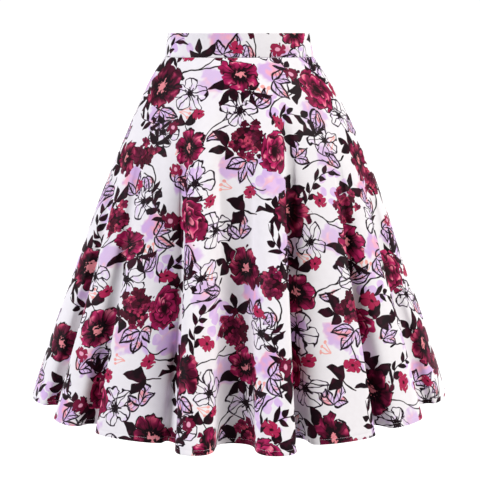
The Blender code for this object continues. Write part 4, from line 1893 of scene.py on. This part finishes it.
# ---------------------------------------------------------------- the waistband


@dataclass(frozen=True)
class Waistband:
    """The stiff waistband: one strip folded along its top edge, open at the centre back."""

    form: SkirtForm
    columns: int = 288
    rows: tuple[float, ...] = (
        0.0, 0.0012, 0.004, 0.010, 0.016, 0.022, 0.028, 0.034, 0.037, 0.0388, 0.040
    )
    wall: float = 0.0018
    slit: float = 0.0016
    edge: float = 0.0004
    wave: float = 0.0004          # how far it bends in and out, three times round
    wave_shift: float = 0.8
    pucker: float = 0.00018       # above its seam
    pucker_pitch: float = 0.0113
    pucker_from: float = 0.026
    seam_roll: float = 0.0002
    seam_from: float = 0.0380
    design_shift: tuple[float, float] = (0.283, 0.102)   # where its strip lies in the design

    def build(self, finishes: Finishes) -> Object:
        """Build the waistband.

        Args:
            finishes: The skirt's finishes.

        Returns:
            The waistband.
        """
        form, rows = self.form, np.array(self.rows)
        share = (rows / form.band_height)[:, None]
        margin = self.slit / 2 / SECTIONS[0].left_half
        angles = np.linspace(-pi / 2 + margin, 3 * pi / 2 - margin, self.columns + 1)[None, :]
        half, front, back = form.band_axes(share)
        depth = np.where(np.sin(angles) > 0, front, back)
        level = -form.band_height * share + 0 * angles
        plain = np.stack([half * np.cos(angles), -depth * np.sin(angles), level], axis=-1)
        steps = np.linalg.norm(np.diff(plain, axis=1), axis=-1).mean(axis=0)
        along = np.concatenate([[0.0], np.cumsum(steps)])
        low = smooth(rows, self.pucker_from, form.band_height)[:, None]
        drawn_in = self.pucker * low * np.sin(tau * along / self.pucker_pitch)[None, :]
        drawn_in += self.wave * np.sin(3 * angles + self.wave_shift) * np.sin(pi * share)
        drawn_in += self.seam_roll * smooth(rows, self.seam_from, form.band_height)[:, None]
        points = plain - face_normals(plain) * drawn_in[..., None]
        across = np.broadcast_to(along[-1] / 2 - along + self.design_shift[0], drawn_in.shape)
        up = np.broadcast_to(self.design_shift[1] - rows[:, None], drawn_in.shape)
        piece = grid_piece("waistband_cloth", points, np.stack([across, up], axis=-1))
        whole = range(len(rows))
        make_wall(piece, finishes.cloth, finishes.cloth, self.wall, 1.0, whole)
        round_edges(piece, self.edge, 55)
        bpy.ops.object.shade_smooth_by_angle(angle=radians(50))
        hand_over(piece, Body.CLOTH, Slot.COTTON, "waistband")
        log.info("waistband: strip %.3f x %.3f m", along[-1], form.band_height)
        return piece


# ---------------------------------------------------------------- the zip


@dataclass(frozen=True)
class Zip:
    """The concealed zip behind the centre back seam: two tapes, a coil, a slider and its pull."""

    form: SkirtForm
    length: float = 0.232
    top: float = 0.004
    tape_width: float = 0.0119
    tape_wall: float = 0.0005
    slit: float = 0.0001          # half the gap between the closed tapes
    tape_columns: int = 9
    tape_rows: int = 60
    behind_band: float = 0.0021   # how far the tapes lie behind the waistband's outer face
    behind_skirt: float = 0.0016  # and behind the panels' outer face
    step_start: float = 0.002     # from here above the waistband's seam they pass over
    step_end: float = 0.012       # to here below it
    notch: float = 0.00355        # half the gap between the tapes at the slider
    notch_rows: int = 8
    notch_end: float = 0.0178
    notch_close: float = 0.006
    row_gap: float = 0.004        # between the notch's last row and the next one
    tooth_pitch: float = 0.0013
    tooth_radius: float = 0.00045
    tooth_width: float = 0.0042
    coil_start: float = 0.008     # below the notch
    coil_end: float = 0.006       # above the tapes' lower end
    seam_off: float = 0.0080      # how far the stitches are from the middle
    seam_start: float = 0.01      # below the notch
    seam_end: float = 0.004       # above the tapes' lower end
    seam_step: float = 0.004
    slider_edge: float = 0.00025
    pull_edge: float = 0.00035

    @property
    def bottom(self) -> float:
        """The drop at which the tapes end."""
        return self.top + self.length

    def cover(self, drop: float) -> float:
        """Work out how far the tapes lie behind the outer face.

        Args:
            drop: The drop below the waistband's upper edge.

        Returns:
            The distance.
        """
        seam = self.form.band_height
        share = float(smooth(np.array(drop), seam - self.step_start, seam + self.step_end))
        return self.behind_band + (self.behind_skirt - self.behind_band) * share

    def tape(self, side: int, finish: Material) -> Object:
        """Weave one tape.

        Args:
            side: 1 for the wearer's left tape, -1 for the right one.
            finish: The tape's finish.

        Returns:
            The tape.
        """
        drops = np.concatenate([
            np.linspace(self.top, self.notch_end, self.notch_rows),
            np.linspace(self.notch_end + self.row_gap, self.bottom, self.tape_rows),
        ])
        points = np.zeros((len(drops), self.tape_columns, 3))
        for i, drop in enumerate(drops):
            closed = smooth(np.array(drop), self.notch_end, self.notch_end + self.notch_close)
            inner = max(float(self.notch * (1 - closed)), self.slit)
            for j in range(self.tape_columns):
                x = side * (inner + (self.tape_width - inner) * j / (self.tape_columns - 1))
                out = self.form.back_normal(x, drop)
                points[i, j] = self.form.back_point(x, drop) - out * self.cover(drop)
        if side > 0:
            points = points[:, ::-1]
        down = np.broadcast_to(-drops[:, None], points.shape[:2])
        flat = np.stack([points[..., 0], down], axis=-1)
        piece = grid_piece(f"zip_tape_{'left' if side > 0 else 'right'}", points, flat)
        make_wall(piece, finish, finish, self.tape_wall, 1.0, range(len(drops)))
        hand_over(piece, Body.CLOTH, Slot.TAPE, "zip_tape")
        return piece

    def coil(self, finish: Material) -> Object:
        """Form the coil of teeth behind the tapes.

        Args:
            finish: The coil's finish.

        Returns:
            The coil.
        """
        bpy.ops.mesh.primitive_cylinder_add(
            vertices=6, radius=self.tooth_radius, depth=self.tooth_width, rotation=(0, pi / 2, 0)
        )
        bpy.ops.object.transform_apply(rotation=True)
        bpy.ops.object.mode_set(mode="EDIT")
        bpy.ops.mesh.select_all(action="SELECT")
        bpy.ops.mesh.bevel(offset=self.tooth_radius * 0.5, segments=1)
        bpy.ops.object.mode_set(mode="OBJECT")
        tooth = bpy.context.object
        places = []
        first, last = self.notch_end + self.coil_start, self.bottom - self.coil_end
        for drop in np.arange(first, last, self.tooth_pitch):
            out = self.form.back_normal(0.0, drop)
            behind = self.cover(drop) + self.tape_wall + self.tooth_radius * 0.8
            point = self.form.back_point(0.0, drop) - out * behind
            places.append(standing(point, Vector((1, 0, 0)), out))
        piece = repeat_mesh("zip_coil", tooth, places, finish)
        return hand_over(piece, Body.CLOTH, Slot.TAPE)

    def hardware(self, node: str, name: str, body: Body, edge: float, finish: Material) -> Object:
        """Round the edges of the slider or the pull.

        Args:
            node: The solid that is refined.
            name: The new piece's name.
            body: The body that it moves with.
            edge: The width of the rounding.
            finish: The metal's finish.

        Returns:
            The refined piece.
        """
        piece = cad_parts[node].copy()
        piece.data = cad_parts[node].data.copy()
        piece.name = piece.data.name = name
        piece.parent = None
        for key in [key for key in piece.keys() if key.startswith("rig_")]:
            del piece[key]
        bpy.context.scene.collection.objects.link(piece)
        bpy.context.view_layer.objects.active = piece
        piece.select_set(True)
        bpy.ops.object.mode_set(mode="EDIT")
        bpy.ops.mesh.select_all(action="SELECT")
        bpy.ops.mesh.remove_doubles(threshold=0.000005)
        bpy.ops.object.mode_set(mode="OBJECT")
        round_edges(piece, edge, 40)
        bpy.ops.object.shade_smooth_by_angle(angle=radians(35))
        piece.data.materials.clear()
        piece.data.materials.append(finish)
        return hand_over(piece, body, Slot.METAL, node)

    def stitch_paths(self) -> list[tuple[np.ndarray, np.ndarray]]:
        """Find the two lines of stitches that hold the tapes, seen from inside.

        Returns:
            Points of each line, and the inward directions there.
        """
        paths = []
        first, last = self.notch_end + self.seam_start, self.bottom - self.seam_end
        for x in (-self.seam_off, self.seam_off):
            points, normals = [], []
            for drop in np.arange(first, last, self.seam_step):
                out = self.form.back_normal(x, drop)
                points.append(self.form.back_point(x, drop) - out * (self.cover(drop) + self.tape_wall))
                normals.append(-out)
            paths.append((np.array(points), np.array(normals)))
        return paths

    def build(self, finishes: Finishes) -> None:
        """Build the whole zip.

        Args:
            finishes: The skirt's finishes.
        """
        self.tape(-1, finishes.tape)
        self.tape(1, finishes.tape)
        self.coil(finishes.coil)
        self.hardware("zip_slider", "slider_body", Body.CLOTH, self.slider_edge, finishes.metal)
        self.hardware("zip_pull", "pull_tab", Body.PULL, self.pull_edge, finishes.metal)
        stitches = Stitching("zip_stitches").build(self.stitch_paths(), finishes.thread)
        hand_over(stitches, Body.CLOTH, Slot.TAPE)


# ---------------------------------------------------------------- the studio


@dataclass(frozen=True)
class SoftLight:
    """A broad soft light, far away, that comes from one direction.

    Its bearing is counted in degrees to the right of the skirt's front, and its height above
    the horizon. The spread is the width of the lit patch of sky that it stands for.
    """

    name: str
    bearing: float
    height: float
    strength: float
    spread: float
    colour: str

    def build(self) -> None:
        """Set up the light."""
        lamp = bpy.data.lights.new(self.name, "SUN")
        lamp.energy = self.strength * pi
        lamp.angle = radians(self.spread)
        lamp.color = linear(self.colour)[:3]
        light = bpy.data.objects.new(self.name, lamp)
        light.rotation_euler = (radians(90 - self.height), 0, radians(self.bearing))
        bpy.context.scene.collection.objects.link(light)


@dataclass(frozen=True)
class Studio:
    """A white room with a white floor below the skirt, soft lights and the camera."""

    camera_place: tuple[float, float, float] = (0.0017, -2.2, 0.0)
    camera_pitch: float = 9.3118      # degrees down
    lens: float = 94.68
    sensor: float = 36.0
    floor_drop: float = 1.60
    floor_size: float = 400.0
    floor_front: float = 0.45         # how far it reaches in front of the skirt's middle
    room_light: float = 0.34
    wall_light: float = 1.05          # the far walls as the camera sees them
    lights: tuple[SoftLight, ...] = (
        SoftLight("key_right", 66.0, 33.0, 0.98, 30.0, "#FFFDFA"),
        SoftLight("fill_left", -66.0, 24.0, 0.86, 40.0, "#F6F6FD"),
        SoftLight("behind", 172.0, 42.0, 0.28, 40.0, "#FFFFFF"),
    )

    def floor(self) -> None:
        """Lay the floor."""
        middle = (0, self.floor_size / 2 - self.floor_front, -self.floor_drop)
        bpy.ops.mesh.primitive_plane_add(size=self.floor_size, location=middle)
        bpy.ops.object.transform_apply(location=True)
        floor = bpy.context.object
        floor.name = "floor"
        floor.data.materials.append(MattPaper().build())

    def room(self) -> None:
        """Fill the room with even light, and leave its far walls white."""
        world = bpy.data.worlds.new("white_room")
        world.use_nodes = True
        tree = world.node_tree
        background = tree.nodes["Background"]
        background.inputs["Color"].default_value = linear("#FFFFFF")
        seen = add_node(tree, "ShaderNodeLightPath", {}).outputs["Is Camera Ray"]
        level = {0: seen, 3: self.room_light, 4: self.wall_light}
        strength = add_node(tree, "ShaderNodeMapRange", level).outputs[0]
        tree.links.new(strength, background.inputs["Strength"])
        bpy.context.scene.world = world

    def camera(self) -> None:
        """Set up the camera."""
        camera = bpy.data.cameras.new("camera")
        camera.lens = self.lens
        camera.sensor_width = self.sensor
        camera.clip_end = self.floor_size
        stand = bpy.data.objects.new("camera", camera)
        stand.location = self.camera_place
        stand.rotation_euler = (radians(90 - self.camera_pitch), 0, 0)
        bpy.context.scene.collection.objects.link(stand)
        bpy.context.scene.camera = stand
        bpy.context.scene.view_settings.view_transform = "Standard"

    def build(self) -> None:
        """Build the floor, the lights and the camera."""
        self.floor()
        self.room()
        for light in self.lights:
            light.build()
        self.camera()


# ---------------------------------------------------------------- the whole skirt


@dataclass(frozen=True)
class ALineSkirt:
    """The whole skirt: a waistband, a front, two backs, their hem and a concealed zip."""

    form: SkirtForm = SkirtForm()
    hem: Hem = Hem()

    def panels(self) -> tuple[SkirtPanel, ...]:
        """Part the skirt at its side seams and its centre back seam.

        Returns:
            The front and the two backs.
        """
        left = self.form.middle("left_side", 0)
        right = self.form.middle("right_side", 0)
        back = self.form.middle("back_3", 1)
        return (
            SkirtPanel("skirt_front", self.form, left, right, self.hem),
            SkirtPanel("skirt_back_right", self.form, right, back, self.hem),
            SkirtPanel("skirt_back_left", self.form, back, left + self.form.lap, self.hem),
        )

    def build(self) -> None:
        """Build every piece."""
        finishes = Finishes.build()
        Waistband(self.form).build(finishes)
        panels = self.panels()
        for panel in panels:
            panel.build(finishes)
        paths = [panel.hem_path() for panel in panels]
        stitches = Stitching("hem_stitches").build(paths, finishes.thread)
        hand_over(stitches, Body.CLOTH, Slot.COTTON)
        Zip(self.form).build(finishes)


def main() -> None:
    """Build the skirt and its studio."""
    logging.basicConfig(level=logging.INFO, format="%(name)s: %(message)s")
    Studio().build()
    ALineSkirt().build()


if __name__ == "__main__":
    main()
